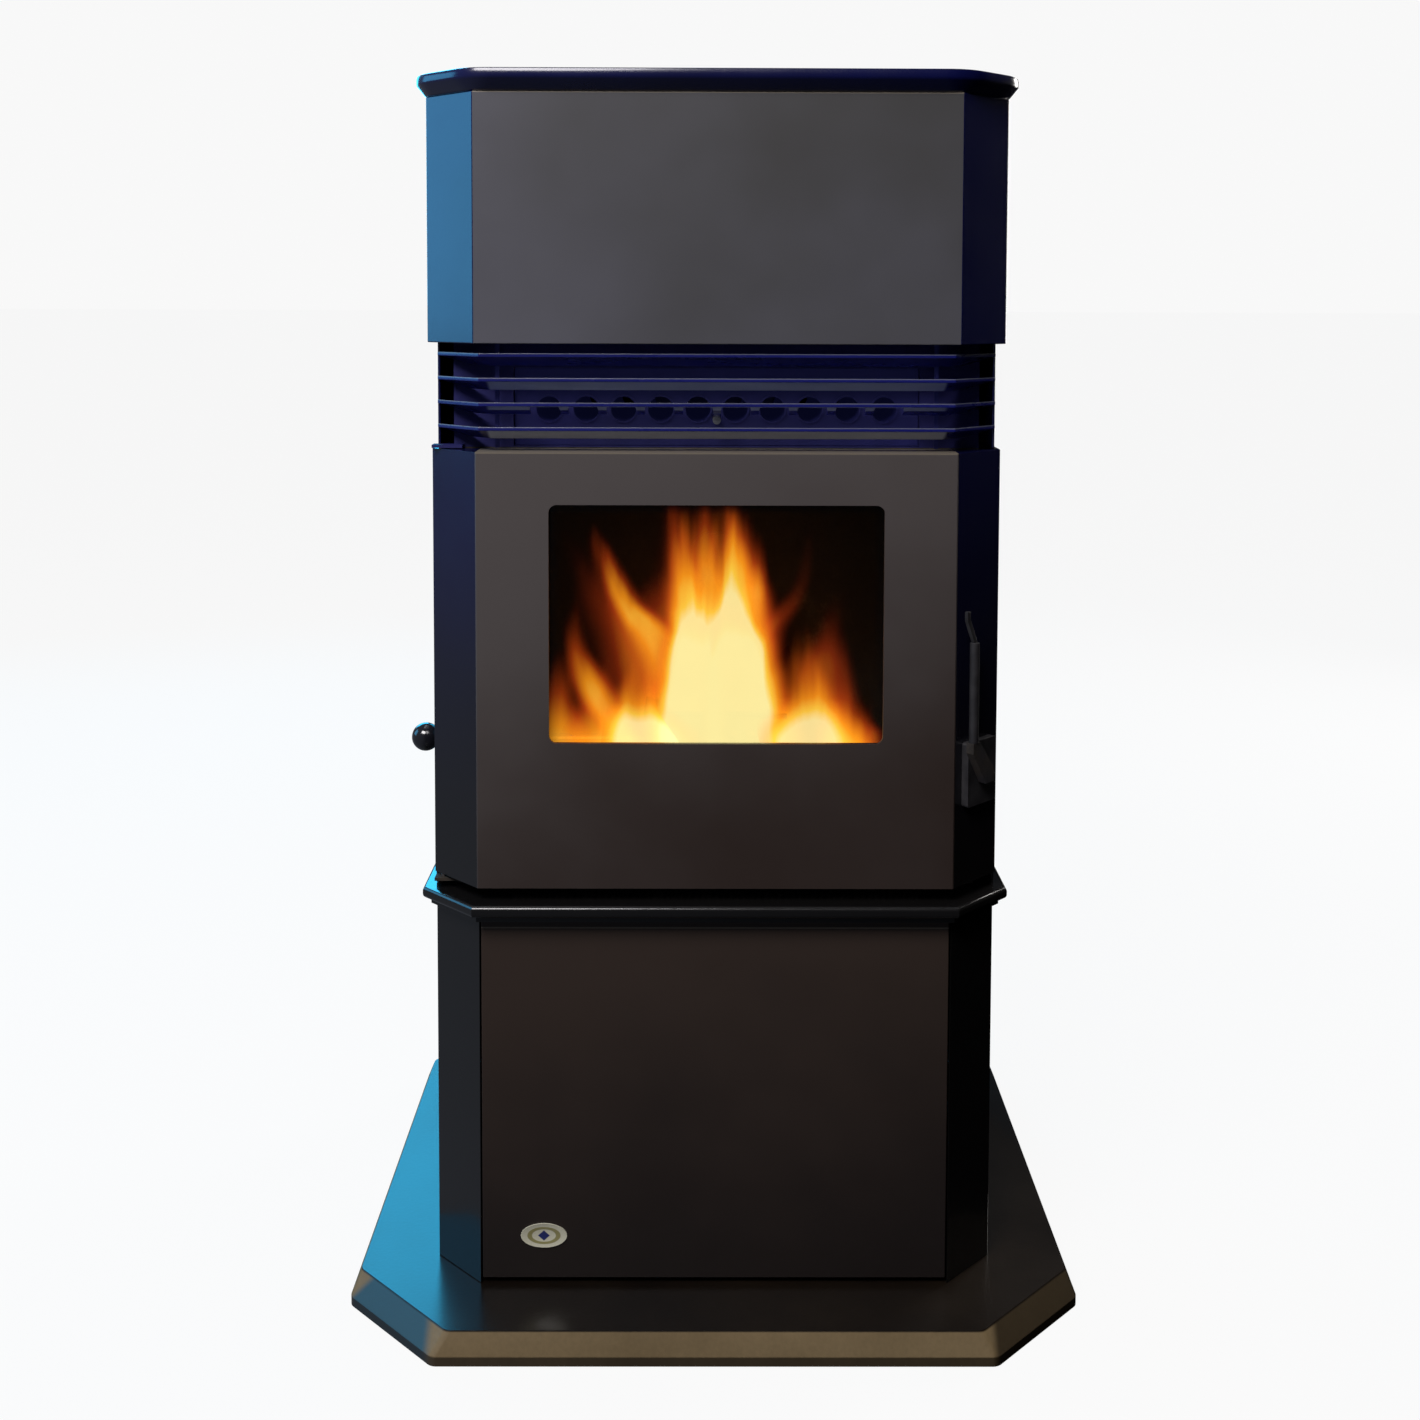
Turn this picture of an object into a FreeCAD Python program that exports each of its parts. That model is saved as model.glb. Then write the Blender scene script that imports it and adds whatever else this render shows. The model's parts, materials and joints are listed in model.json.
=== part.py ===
import FreeCAD, Part
import math
import os
import re
import Sketcher
from FreeCAD import Rotation, Vector

# A free-standing wood-pellet stove, in millimetres. X is the width, Y runs from the front to the back
# and Z is up. The origin is the centre of the hearth plate's underside.

# Sizes that are set by themselves. Each is one cell of the spreadsheet.
SIZES = {
    "base_width": 729, "base_depth": 580, "base_corner": 96, "base_thick": 30, "base_band": 9,
    "base_bevel": 8.5, "base_wall": 4, "base_rim": 14, "front_overhang": 74,
    "body_width": 562, "body_depth": 490, "corner_cut": 49.5,
    "pedestal_height": 372, "pedestal_setback": 9, "toe_gap": 6, "sheet": 2.5,
    "ledge_thick": 18, "ledge_grow": 12, "ledge_cove": 8, "ledge_skin": 5, "ledge_rim": 26,
    "door_gap": 14, "door_height": 426.5, "door_wall": 4,
    "window_width": 324, "window_height": 233, "window_low": 143, "window_round": 8,
    "glass_thick": 5, "glass_lap": 10, "gasket_thick": 2, "rope_width": 12, "rope_thick": 2.5,
    "louvre_zone": 104.5, "louvre_first": 24, "louvre_pitch": 23.7, "louvre_inset": 5, "louvre_slope": 22,
    "louvre_drop": 9, "louvre_lip": 3.5, "louvre_sheet": 1.5, "louvre_return": 51.5,
    "post_width": 4, "post_inset": 17,
    "casing_height": 239, "casing_grow": 4, "casing_sheet": 2, "rim_height": 21, "rim_flare": 11.5,
    "rim_band": 9, "rim_width": 12, "rim_round": 3.5,
    "fire_width": 410, "fire_depth": 232, "fire_wall": 4, "fire_head": 81.5, "flange_width": 520,
    "opening_width": 380, "opening_low": 25, "opening_high": 14,
    "tube_count": 10, "tube_pitch": 37, "tube_outer": 14, "tube_inner": 12.5, "tube_rise": 38.5,
    "tube_recess": 60, "tube_plate": 4, "slide_gap": 0.4, "run_gap": 0.05,
    "brick_thick": 12, "brick_height": 380, "flue_space": 18, "baffle_thick": 4,
    "pot_width": 124, "pot_depth": 116, "pot_wall": 4, "pot_low": 113, "pot_height": 47, "pot_back": 170,
    "grate_thick": 4, "rod_radius": 4, "ball_radius": 15, "ball_reach": 29, "grate_travel": 80,
    "feed_rise": 300, "feed_outer": 30, "feed_inner": 28, "auger_radius": 26, "auger_shaft": 6,
    "auger_pitch": 40, "auger_sheet": 3, "throat_half": 28, "throat_depth": 76, "throat_rise": 355,
    "hopper_half": 205, "hopper_sheet": 1.5, "hopper_drop": 46, "hopper_neck_half": 120,
    "flue_radius": 37.5, "flue_wall": 1.5, "flue_reach": 55, "intake_radius": 24, "intake_wall": 2,
    "intake_reach": 45, "stub_step": 5, "pipe_step": 1, "pipe_room": 1.3,
    "fan_radius": 78, "fan_depth": 55, "fan_wall": 2, "fan_motor": 40,
    "blower_radius": 60, "blower_width": 110, "pan_height": 180, "pan_depth": 318, "pan_wall": 1.5,
    "drawer_gap": 1.5, "drawer_sheet": 3, "drawer_lip": 14, "runner_rise": 30,
    "badge_width": 46, "badge_height": 24.6, "badge_thick": 1.5, "badge_x": -169, "badge_z": 80,
    "pin_radius": 2.5, "pin_inset": 9, "latch_z": 545, "latch_width": 46, "latch_height": 64,
    "latch_thick": 8, "shaft_radius": 6, "grip_radius": 4.8, "grip_length": 98, "grip_offset": 21.5,
    "tip_rise": 32, "tip_reach": 12, "lid_thick": 7, "lid_sheet": 2,
    "knob_radius": 18, "knob_height": 14, "button_radius": 9, "button_travel": 2.5,
}

# Places worked out from the sizes, as expressions that the spreadsheet keeps alive.
PLACES = {
    "front": "front_overhang - base_depth / 2",
    "back": "front + body_depth",
    "side": "body_width / 2",
    "flat": "side - corner_cut",
    "pedestal_front": "front + pedestal_setback",
    "ledge_low": "base_thick + pedestal_height",
    "ledge_top": "ledge_low + ledge_thick",
    "door_low": "ledge_top + door_gap",
    "door_top": "door_low + door_height",
    "door_back": "front + corner_cut",
    "window_bottom": "door_low + window_low",
    "window_top": "window_bottom + window_height",
    "glass_front": "front + door_wall + gasket_thick",
    "glass_back": "glass_front + glass_thick",
    "fire_front": "door_back + rope_thick",
    "fire_back": "fire_front + fire_depth",
    "fire_half": "fire_width / 2",
    "fire_in": "fire_half - fire_wall",
    "fire_floor": "ledge_top + fire_wall",
    "fire_roof": "door_top - 2",
    "fire_top": "fire_roof + fire_wall + fire_head",
    "tube_z": "door_top + tube_rise",
    "tube_front": "front + tube_recess",
    "casing_low": "door_top + louvre_zone",
    "casing_top": "casing_low + casing_height",
    "rim_top": "casing_top + rim_height",
    "brick_back": "fire_back - fire_wall - flue_space",
    "pot_mid": "front + pot_back",
    "pot_half_y": "pot_depth / 2",
    "pot_half_x": "pot_width / 2",
    "pot_bottom": "ledge_top + pot_low",
    "pot_top": "pot_bottom + pot_height",
    "grate_low": "pot_bottom + 3.5",
    "rod_z": "grate_low + grate_thick / 2",
    "feed_z": "ledge_top + feed_rise",
    "throat_front": "fire_back + 22",
    "throat_back": "throat_front + throat_depth",
    "throat_z": "ledge_top + throat_rise",
    "intake_z": "ledge_top + 50",
    "fan_x": "-120",
    "fan_z": "ledge_top + fan_radius + 2",
    "fan_front": "fire_back + 4",
    "fan_back": "fan_front + fan_depth",
    "flue_x": "fan_x - fan_radius + flue_radius + 3",
    "flue_z": "fan_z + 98",
    "blower_y": "back - 75",
    "blower_z": "base_thick + 120",
    "blower_left": "0",
    "blower_right": "blower_width",
    "hinge_x": "-(side - pin_inset)",
    "hinge_y": "door_back - 4",
    "scraper_z": "tube_z - tube_outer + 5",
    "top_low": "casing_top + 5",
    "top_high": "top_low + 3",
    "lid_low": "top_high + 0.5",
    "lid_hinge_y": "back - 26",
    "lid_hinge_z": "top_high + 7.5",
    "knob_y": "front + 400",
    "knob_z": "ledge_top + 380",
    "button_z": "knob_z - 60",
}

doc = FreeCAD.newDocument("stove")
sheet = doc.addObject("Spreadsheet::Sheet", "Sizes")
for row, (alias, value) in enumerate(SIZES.items(), start=1):
    sheet.set(f"A{row}", alias)
    sheet.set(f"B{row}", str(value))
    sheet.setAlias(f"B{row}", alias)
doc.recompute()

NODES = {}
CUTS = []


def live(text):
    """Turn a size expression into one that reads the spreadsheet's cells."""
    def word(match):
        name = match.group(0)
        if name in PLACES:
            return "(" + live(PLACES[name]) + ")"
        return "Sizes." + name if name in SIZES else name
    return re.sub(r"[a-z_]+", word, str(text))


def bind(obj, **properties):
    """Bind properties of one object to size expressions; a double underscore stands for a dot."""
    for name, text in properties.items():
        obj.setExpression(name.replace("__", "."), live(text))
    return obj


def node(obj, label):
    """Name a finished piece, which is then written to its own file."""
    obj.Label = label
    NODES[label] = obj
    return obj


# ---------------------------------------------------------------- sketches and features

PLANES = {"z": "XY_Plane", "y": "XZ_Plane", "x": "YZ_Plane"}


def rect(low_u, low_v, high_u, high_v):
    return [(low_u, low_v), (high_u, low_v), (high_u, high_v), (low_u, high_v)]


def disc(u, v, radius):
    return {"u": u, "v": v, "radius": radius}


def plan(front_y, grow, back_y):
    """Outline of the stove's body from above: a flat front with a cheek cut off each front corner."""
    wide = f"side + ({grow})"
    face = f"flat + ({grow}) * (sqrt(2) - 1)"
    heel = f"{front_y} + corner_cut - ({grow}) * (sqrt(2) - 1)"
    nose = f"{front_y} - ({grow})"
    left = [(f"-({wide})", back_y), (f"-({wide})", heel), (f"-({face})", nose)]
    right = [(face, nose), (wide, heel), (wide, back_y)]
    return left + right


def new_body():
    return doc.addObject("PartDesign::Body", "body")


def polygon(sketch, points):
    """Add a closed outline whose corners are bound to expressions."""
    first = sketch.GeometryCount
    count = len(points)
    spots = [Vector(9 * math.cos(2 * math.pi * i / count), 9 * math.sin(2 * math.pi * i / count), 0)
             for i in range(count)]
    for i in range(count):
        sketch.addGeometry(Part.LineSegment(spots[i], spots[(i + 1) % count]))
    for i in range(count):
        sketch.addConstraint(Sketcher.Constraint("Coincident", first + i, 2, first + (i + 1) % count, 1))
    for i, point in enumerate(points):
        for kind, text in zip(("DistanceX", "DistanceY"), point):
            index = sketch.addConstraint(Sketcher.Constraint(kind, -1, 1, first + i, 1, 1.0))
            sketch.setExpression(f"Constraints[{index}]", live(text))


def circle(sketch, ring):
    """Add a circle whose centre and radius are bound to expressions."""
    first = sketch.GeometryCount
    sketch.addGeometry(Part.Circle(Vector(1, 1, 0), Vector(0, 0, 1), 2))
    index = sketch.addConstraint(Sketcher.Constraint("Radius", first, 2.0))
    sketch.setExpression(f"Constraints[{index}]", live(ring["radius"]))
    for kind, text in (("DistanceX", ring["u"]), ("DistanceY", ring["v"])):
        index = sketch.addConstraint(Sketcher.Constraint(kind, -1, 1, first, 3, 1.0))
        sketch.setExpression(f"Constraints[{index}]", live(text))


def draw(body, axis, level, loops):
    """Sketch closed loops across one axis, at one level along it."""
    sketch = body.newObject("Sketcher::SketchObject", "sketch")
    plane = next(item for item in body.Origin.OriginFeatures if item.Role == PLANES[axis])
    sketch.AttachmentSupport = [(plane, "")]
    sketch.MapMode = "FlatFace"
    for loop in loops:
        if isinstance(loop, dict):
            circle(sketch, loop)
        else:
            polygon(sketch, loop)
    sign = "-" if axis == "y" else ""
    sketch.setExpression("AttachmentOffset.Base.z", live(f"{sign}({level})"))
    return sketch


def pad(body, axis, low, high, *loops):
    """Fill the loops from one level to a higher one along the axis."""
    feature = body.newObject("PartDesign::Pad", "pad")
    feature.Profile = draw(body, axis, low, loops)
    feature.Reversed = axis == "y"
    feature.setExpression("Length", live(f"({high}) - ({low})"))
    return feature


def cut(body, axis, low, high, *loops):
    """Remove the loops from one level to a higher one along the axis."""
    feature = body.newObject("PartDesign::Pocket", "cut")
    feature.Profile = draw(body, axis, low, loops)
    feature.Reversed = axis != "y"
    feature.setExpression("Length", live(f"({high}) - ({low})"))
    CUTS.append(feature)
    return feature


def slope(body, low, low_loop, high, high_loop, remove=False):
    """Join two level outlines with flat sloping sides, as solid or as a hollow."""
    kind = "PartDesign::SubtractiveLoft" if remove else "PartDesign::AdditiveLoft"
    feature = body.newObject(kind, "slope")
    feature.Profile = draw(body, "z", low, [low_loop])
    feature.Sections = [(draw(body, "z", high, [high_loop]), [""])]
    feature.Ruled = True
    if remove:
        CUTS.append(feature)
    return feature


def round_off(body, radius, choose):
    """Round the edges of a body's last feature that the choice picks."""
    doc.recompute()
    tip = body.Tip
    names = [f"Edge{i}" for i, edge in enumerate(tip.Shape.Edges, start=1) if choose(edge)]
    feature = body.newObject("PartDesign::Fillet", "round")
    feature.Base = (tip, names)
    feature.setExpression("Radius", live(radius))
    return feature


def at_level(edge, level):
    return edge.BoundBox.ZLength < 0.01 and abs(edge.BoundBox.ZMin - level) < 0.01


# ---------------------------------------------------------------- primitives

TURNS = {"z": Rotation(), "y": Rotation(Vector(1, 0, 0), -90), "x": Rotation(Vector(0, 1, 0), 90)}


def block(low_x, low_y, low_z, high_x, high_y, high_z):
    box = doc.addObject("Part::Box", "block")
    bind(box, Length=f"({high_x}) - ({low_x})", Width=f"({high_y}) - ({low_y})",
         Height=f"({high_z}) - ({low_z})", Placement__Base__x=low_x, Placement__Base__y=low_y,
         Placement__Base__z=low_z)
    return box


def bar(axis, start_x, start_y, start_z, length, radius):
    """A round bar that runs from its start point along one axis."""
    rod = doc.addObject("Part::Cylinder", "bar")
    rod.Placement.Rotation = TURNS[axis]
    bind(rod, Radius=radius, Height=length, Placement__Base__x=start_x, Placement__Base__y=start_y,
         Placement__Base__z=start_z)
    return rod


def join(*pieces):
    joined = doc.addObject("Part::MultiFuse", "join")
    joined.Shapes = list(pieces)
    return joined


def less(base, tool):
    result = doc.addObject("Part::Cut", "less")
    result.Base = base
    result.Tool = tool
    return result


# ---------------------------------------------------------------- hearth plate and pedestal

def base_outline(grow):
    half = f"base_width / 2 + ({grow})"
    deep = f"base_depth / 2 + ({grow})"
    trim = f"base_corner - ({grow}) * (2 - sqrt(2))"
    left = [(f"-({half})", deep), (f"-({half})", f"-({deep}) + {trim}"),
            (f"-({half}) + {trim}", f"-({deep})")]
    right = [(f"({half}) - ({trim})", f"-({deep})"), (half, f"-({deep}) + {trim}"), (half, deep)]
    return left + right


def hearth_plate():
    body = new_body()
    pad(body, "z", "0", "base_band", base_outline("0"))
    slope(body, "base_band", base_outline("0"), "base_thick", base_outline("-base_bevel"))
    round_off(body, "12", lambda edge: edge.BoundBox.ZLength > 1)
    cut(body, "z", "0", "base_thick - base_wall", base_outline("-base_rim"))
    node(body, "hearth_plate")


def pedestal_shell():
    body = new_body()
    pad(body, "z", "base_thick", "ledge_low", plan("pedestal_front", "0", "back"))
    cut(body, "z", "base_thick", "ledge_low", plan("pedestal_front", "-sheet", "back + sheet"))
    cut(body, "y", "pedestal_front - 1", "pedestal_front + 20",
        rect("-flat", "base_thick - 1", "flat", "ledge_low + 1"))
    runner_low = "base_thick + runner_rise - sheet"
    runner_high = "base_thick + runner_rise"
    for low, high in (("-(side - sheet / 2)", "-(flat - 20)"), ("flat - 20", "side - sheet / 2")):
        pad(body, "y", "pedestal_front + 70", "back - 160", rect(low, runner_low, high, runner_high))
    node(body, "pedestal_shell")


def pedestal_back():
    body = new_body()
    pad(body, "y", "back", "back + 2", rect("-side + 2", "base_thick + 1", "side - 2", "ledge_low - 1"))
    vents = [rect(f"-180 + {i} * 28", "base_thick + 60", f"-168 + {i} * 28", "base_thick + 130")
             for i in range(13)]
    cut(body, "y", "back - 1", "back + 3", *vents)
    node(body, "pedestal_back")


def drawer_front():
    body = new_body()
    low_z = "base_thick + toe_gap"
    high_z = "ledge_low - drawer_gap"
    wide = "flat - drawer_gap"
    pad(body, "y", "pedestal_front", "pedestal_front + drawer_sheet",
        rect(f"-({wide})", low_z, wide, high_z))
    pad(body, "y", "pedestal_front", "pedestal_front + drawer_lip",
        rect(f"-({wide}) + 8", f"{high_z} - drawer_sheet", f"{wide} - 8", high_z))
    node(body, "drawer_front")


def ash_pan():
    body = new_body()
    wide = "flat - 10"
    low_z = "base_thick + runner_rise + slide_gap"
    face = "pedestal_front + drawer_sheet"
    pad(body, "z", low_z, f"{low_z} + pan_height", rect(f"-({wide})", face, wide, f"{face} + pan_depth"))
    cut(body, "z", f"{low_z} + pan_wall", f"{low_z} + pan_height + 1",
        rect(f"-({wide}) + pan_wall", f"{face} + pan_wall", f"{wide} - pan_wall",
             f"{face} + pan_depth - pan_wall"))
    node(body, "ash_pan")


def badge():
    plate = doc.addObject("Part::Ellipse", "oval")
    bind(plate, MajorRadius="badge_width / 2", MinorRadius="badge_height / 2")
    plate.Placement.Rotation = Rotation(Vector(1, 0, 0), 90)
    bind(plate, Placement__Base__x="badge_x", Placement__Base__y="pedestal_front",
         Placement__Base__z="badge_z")
    solid = doc.addObject("Part::Extrusion", "badge")
    solid.Base = plate
    solid.DirMode = "Custom"
    solid.Dir = Vector(0, -1, 0)
    solid.Solid = True
    bind(solid, LengthFwd="badge_thick")
    node(solid, "badge")


def ledge_plate():
    body = new_body()
    pad(body, "z", "ledge_low + ledge_cove - 2", "ledge_top", plan("front", "ledge_grow", "back + 2"))
    round_off(body, "ledge_thick / 4", lambda edge: edge.BoundBox.ZLength < 0.01)
    pad(body, "z", "ledge_low", "ledge_low + ledge_cove", plan("front", "ledge_grow - 8", "back + 2"))
    cut(body, "z", "ledge_low", "ledge_top - ledge_skin",
        plan("front", "ledge_grow - ledge_rim", "back - ledge_rim"))
    cut(body, "z", "ledge_low", "ledge_top + 1",
        rect("-(pot_half_x - 8)", "pot_mid - pot_half_y + 8", "pot_half_x - 8", "pot_mid + pot_half_y - 8"),
        rect("blower_left + 3", "blower_y - blower_radius + 3", "blower_right - 3", "blower_y - 5"))
    node(body, "ledge_plate")


# ---------------------------------------------------------------- firebox

def ear(body, low):
    """A hinge ear on the firebox's flange, bored for the door's pin."""
    pad(body, "z", low, f"{low} + 3", rect("hinge_x - 8", "hinge_y - 8", "hinge_x + 22", "fire_front + 1"))


def firebox_shell():
    body = new_body()
    pad(body, "z", "ledge_top", "fire_top", rect("-fire_half", "fire_front", "fire_half", "fire_back"))
    pad(body, "y", "fire_front", "fire_front + fire_wall",
        rect("-flange_width / 2", "ledge_top + 1", "flange_width / 2", "casing_low - 1"))
    ear(body, "door_low - 6")
    ear(body, "door_top + 1")
    cut(body, "y", "fire_front - 1", "fire_front + fire_wall",
        rect("-opening_width / 2", "ledge_top + opening_low", "opening_width / 2", "door_top - opening_high"))
    cut(body, "y", "fire_front + fire_wall", "fire_back - fire_wall",
        rect("-fire_in", "fire_floor", "fire_in", "fire_roof"))
    cut(body, "y", "fire_front - 1", "fire_back - fire_wall",
        rect("-fire_in", "fire_roof + fire_wall", "fire_in", "fire_top - fire_wall"))
    cut(body, "z", "fire_roof - 1", "fire_roof + fire_wall + 1",
        rect("-fire_in + 20", "fire_front + 14", "fire_in - 20", "fire_front + 50"),
        rect("-fire_in + 20", "brick_back + 2", "fire_in - 20", "fire_back - fire_wall - 2"))
    cut(body, "z", "ledge_top - 1", "fire_floor + 1",
        rect("-(pot_half_x - 6)", "pot_mid - pot_half_y + 6", "pot_half_x - 6", "pot_mid + pot_half_y - 6"))
    cut(body, "z", "door_low - 9", "door_top + 8", disc("hinge_x", "hinge_y", "pin_radius + run_gap"))
    rear = [disc("0", "feed_z", "feed_outer"), disc("0", "intake_z", "intake_radius + pipe_room"),
            disc("30", "pot_bottom + 22", "5.4"), disc("fan_x", "fan_z", "flue_radius")]
    cut(body, "y", "fire_back - fire_wall - 1", "fire_back + 1", *rear, *tube_discs("tube_outer"))
    cut(body, "x", "-fire_half - 1", "-fire_in + 1", disc("pot_mid", "rod_z", "rod_radius + slide_gap"))
    node(body, "firebox_shell")


def tube_discs(radius):
    count = int(sheet.get("tube_count"))
    return [disc(f"({i} - (tube_count - 1) / 2) * tube_pitch", "tube_z", radius) for i in range(count)]


def tube_plate():
    body = new_body()
    pad(body, "y", "tube_front", "tube_front + tube_plate",
        rect("-fire_in + 0.5", "fire_roof + fire_wall + 0.5", "fire_in - 0.5", "fire_top - fire_wall - 0.5"))
    cut(body, "y", "tube_front - 1", "tube_front + tube_plate + 1",
        disc("0", "scraper_z", "rod_radius + slide_gap"), *tube_discs("tube_outer"))
    node(body, "tube_plate")


def heat_tubes():
    body = new_body()
    rings = tube_discs("tube_outer") + tube_discs("tube_inner")
    pad(body, "y", "tube_front - 2", "fire_back + 6", *rings)
    body.AllowCompound = True
    node(body, "heat_tubes")


def tube_scraper():
    body = new_body()
    body.AllowCompound = True
    face = "fire_back - fire_wall - 20"
    pad(body, "y", face, f"{face} + 3",
        rect("-fire_in + 10", "tube_z - 27", "fire_in - 10", "tube_z + 28"))
    cut(body, "y", f"{face} - 1", f"{face} + 4", *tube_discs("tube_outer + slide_gap"))
    pad(body, "y", "front + 30", f"{face} + 1", disc("0", "scraper_z", "rod_radius"))
    node(body, "tube_scraper")


def back_brick():
    body = new_body()
    pad(body, "y", "brick_back - brick_thick", "brick_back",
        rect("-fire_in + 1", "fire_floor", "fire_in - 1", "fire_floor + brick_height + 10"))
    cut(body, "y", "brick_back - brick_thick - 1", "brick_back + 1", disc("0", "feed_z", "feed_outer + 0.5"),
        disc("0", "intake_z", "intake_radius + pipe_room"), disc("30", "pot_bottom + 22", "5.4"))
    node(body, "back_brick")


def side_bricks():
    """Two loose bricks, one against each side wall; the left one is drilled for the grate's rod."""
    body = new_body()
    body.AllowCompound = True
    spans = (("-fire_in + 1", "-fire_in + brick_thick"), ("fire_in - brick_thick", "fire_in - 1"))
    outlines = [rect(low, "fire_front + fire_wall + 4", high, "brick_back - brick_thick - 1")
                for low, high in spans]
    pad(body, "z", "fire_floor", "fire_floor + brick_height", *outlines)
    cut(body, "x", "-fire_in", "-fire_in + brick_thick + 1",
        disc("pot_mid", "rod_z", "rod_radius + slide_gap"))
    node(body, "side_bricks")


def baffle_plate():
    body = new_body()
    low = "fire_floor + brick_height"
    pad(body, "x", "-fire_in + 1", "fire_in - 1",
        [("fire_front + 60", f"{low} + 16"), ("brick_back - brick_thick - 1", f"{low} + 0.5"),
         ("brick_back - brick_thick - 1", f"{low} + 0.5 + baffle_thick"),
         ("fire_front + 60", f"{low} + 16 + baffle_thick")])
    node(body, "baffle_plate")


def burn_pot():
    body = new_body()
    inner = rect("-pot_half_x + pot_wall", "pot_mid - pot_half_y + pot_wall", "pot_half_x - pot_wall",
                 "pot_mid + pot_half_y - pot_wall")
    pad(body, "z", "pot_bottom", "pot_top",
        rect("-pot_half_x", "pot_mid - pot_half_y", "pot_half_x", "pot_mid + pot_half_y"))
    pad(body, "z", "pot_top - 4", "pot_top",
        rect("-pot_half_x - 12", "pot_mid - pot_half_y - 10", "pot_half_x + 12", "pot_mid + pot_half_y + 10"))
    cut(body, "z", "pot_bottom - 1", "pot_top + 1", inner)
    cut(body, "x", "-pot_half_x - 1", "pot_half_x + 1",
        rect("pot_mid - pot_half_y + pot_wall", "grate_low - slide_gap", "pot_mid + pot_half_y - pot_wall",
             "grate_low + grate_thick + slide_gap"))
    cut(body, "x", "-pot_half_x - 1", "-pot_half_x + pot_wall + 1",
        disc("pot_mid", "rod_z", "rod_radius + slide_gap"))
    holes = [disc(f"(-2 + {i}) * 20", "pot_bottom + 25", "3") for i in range(5)]
    cut(body, "y", "pot_mid - pot_half_y - 1", "pot_mid + pot_half_y + 1", *holes)
    node(body, "burn_pot")


def pot_base():
    body = new_body()
    pad(body, "z", "fire_floor", "pot_bottom",
        rect("-pot_half_x", "pot_mid - pot_half_y", "pot_half_x", "pot_mid + pot_half_y"))
    cut(body, "z", "fire_floor - 1", "pot_bottom + 1",
        rect("-pot_half_x + pot_wall", "pot_mid - pot_half_y + pot_wall", "pot_half_x - pot_wall",
             "pot_mid + pot_half_y - pot_wall"))
    cut(body, "y", "pot_mid + pot_half_y - pot_wall - 1", "pot_mid + pot_half_y + 1",
        disc("0", "intake_z", "intake_radius + pipe_room"))
    node(body, "pot_base")


def grate_slide():
    body = new_body()
    pad(body, "z", "grate_low", "grate_low + grate_thick",
        rect("-pot_half_x + 1", "pot_mid - pot_half_y + pot_wall + 1", "pot_half_x - 1",
             "pot_mid + pot_half_y - pot_wall - 1"))
    holes = [disc(f"(-2 + {i}) * 20", f"pot_mid + (-2 + {j}) * 20", "2.5")
             for i in range(5) for j in range(5)]
    cut(body, "z", "grate_low - 1", "grate_low + grate_thick + 1", *holes)
    pad(body, "x", "-(side + ball_reach)", "-pot_half_x + 2", disc("pot_mid", "rod_z", "rod_radius"))
    node(body, "grate_slide")


def grate_knob():
    ball = doc.addObject("Part::Sphere", "ball")
    ball.Placement.Rotation = TURNS["x"]
    bind(ball, Radius="ball_radius", Placement__Base__x="-(side + ball_reach)", Placement__Base__y="pot_mid",
         Placement__Base__z="rod_z")
    collar = bar("x", "-(side + ball_reach) + 8", "pot_mid", "rod_z", "9", "7")
    socket = bar("x", "-(side + ball_reach)", "pot_mid", "rod_z", "40", "rod_radius")
    node(less(join(ball, collar), socket), "grate_knob")


def stub_pipe(x, start, z, reach, outer, inner):
    """A pipe through the rear cover: its stub outside is a step thinner than the part inside."""
    inside = bar("y", x, start, z, f"back + stub_step - ({start})", f"{outer} + pipe_step")
    whole = join(inside, bar("y", x, start, z, f"back + {reach} - ({start})", outer))
    return less(whole, bar("y", x, start, z, f"back + {reach} - ({start})", inner))


def air_intake():
    node(stub_pipe("0", "pot_mid + pot_half_y - pot_wall", "intake_z", "intake_reach", "intake_radius",
                   "intake_radius - intake_wall"), "air_intake")


def igniter():
    start = "pot_mid + pot_half_y"
    rod = bar("y", "30", start, "pot_bottom + 22", f"fire_back + 25 - ({start})", "5")
    head = bar("y", "30", "fire_back + 0.5", "pot_bottom + 22", "18", "9")
    node(join(rod, head), "igniter")


# ---------------------------------------------------------------- fuel feed

def feed_tube():
    body = new_body()
    start = "brick_back - brick_thick - 10"
    finish = "throat_back + 20"
    pad(body, "y", start, finish, disc("0", "feed_z", "feed_outer"))
    pad(body, "z", "feed_z", "throat_z",
        rect("-throat_half - 2", "throat_front", "throat_half + 2", "throat_back"))
    pad(body, "x", "-feed_outer", "feed_outer",
        [(f"{start} + 8", "feed_z - 16"), (f"{start} + 8", "feed_z - feed_outer"),
         (f"{start} - 40", "feed_z - feed_outer - 54"), (f"{start} - 54", "feed_z - feed_outer - 40")])
    cut(body, "y", f"{start} - 1", f"{finish} + 1", disc("0", "feed_z", "feed_inner"))
    cut(body, "z", "feed_z", "throat_z + 1",
        rect("-throat_half", "throat_front + 2", "throat_half", "throat_back - 2"))
    cut(body, "x", "-feed_inner", "feed_inner",
        [(f"{start} + 6", "feed_z - 10"), (f"{start} + 6", "feed_z - feed_outer + 4"),
         (f"{start} - 40", "feed_z - feed_outer - 50"), (f"{start} - 60", "feed_z - feed_outer - 30")])
    node(body, "feed_tube")


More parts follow.
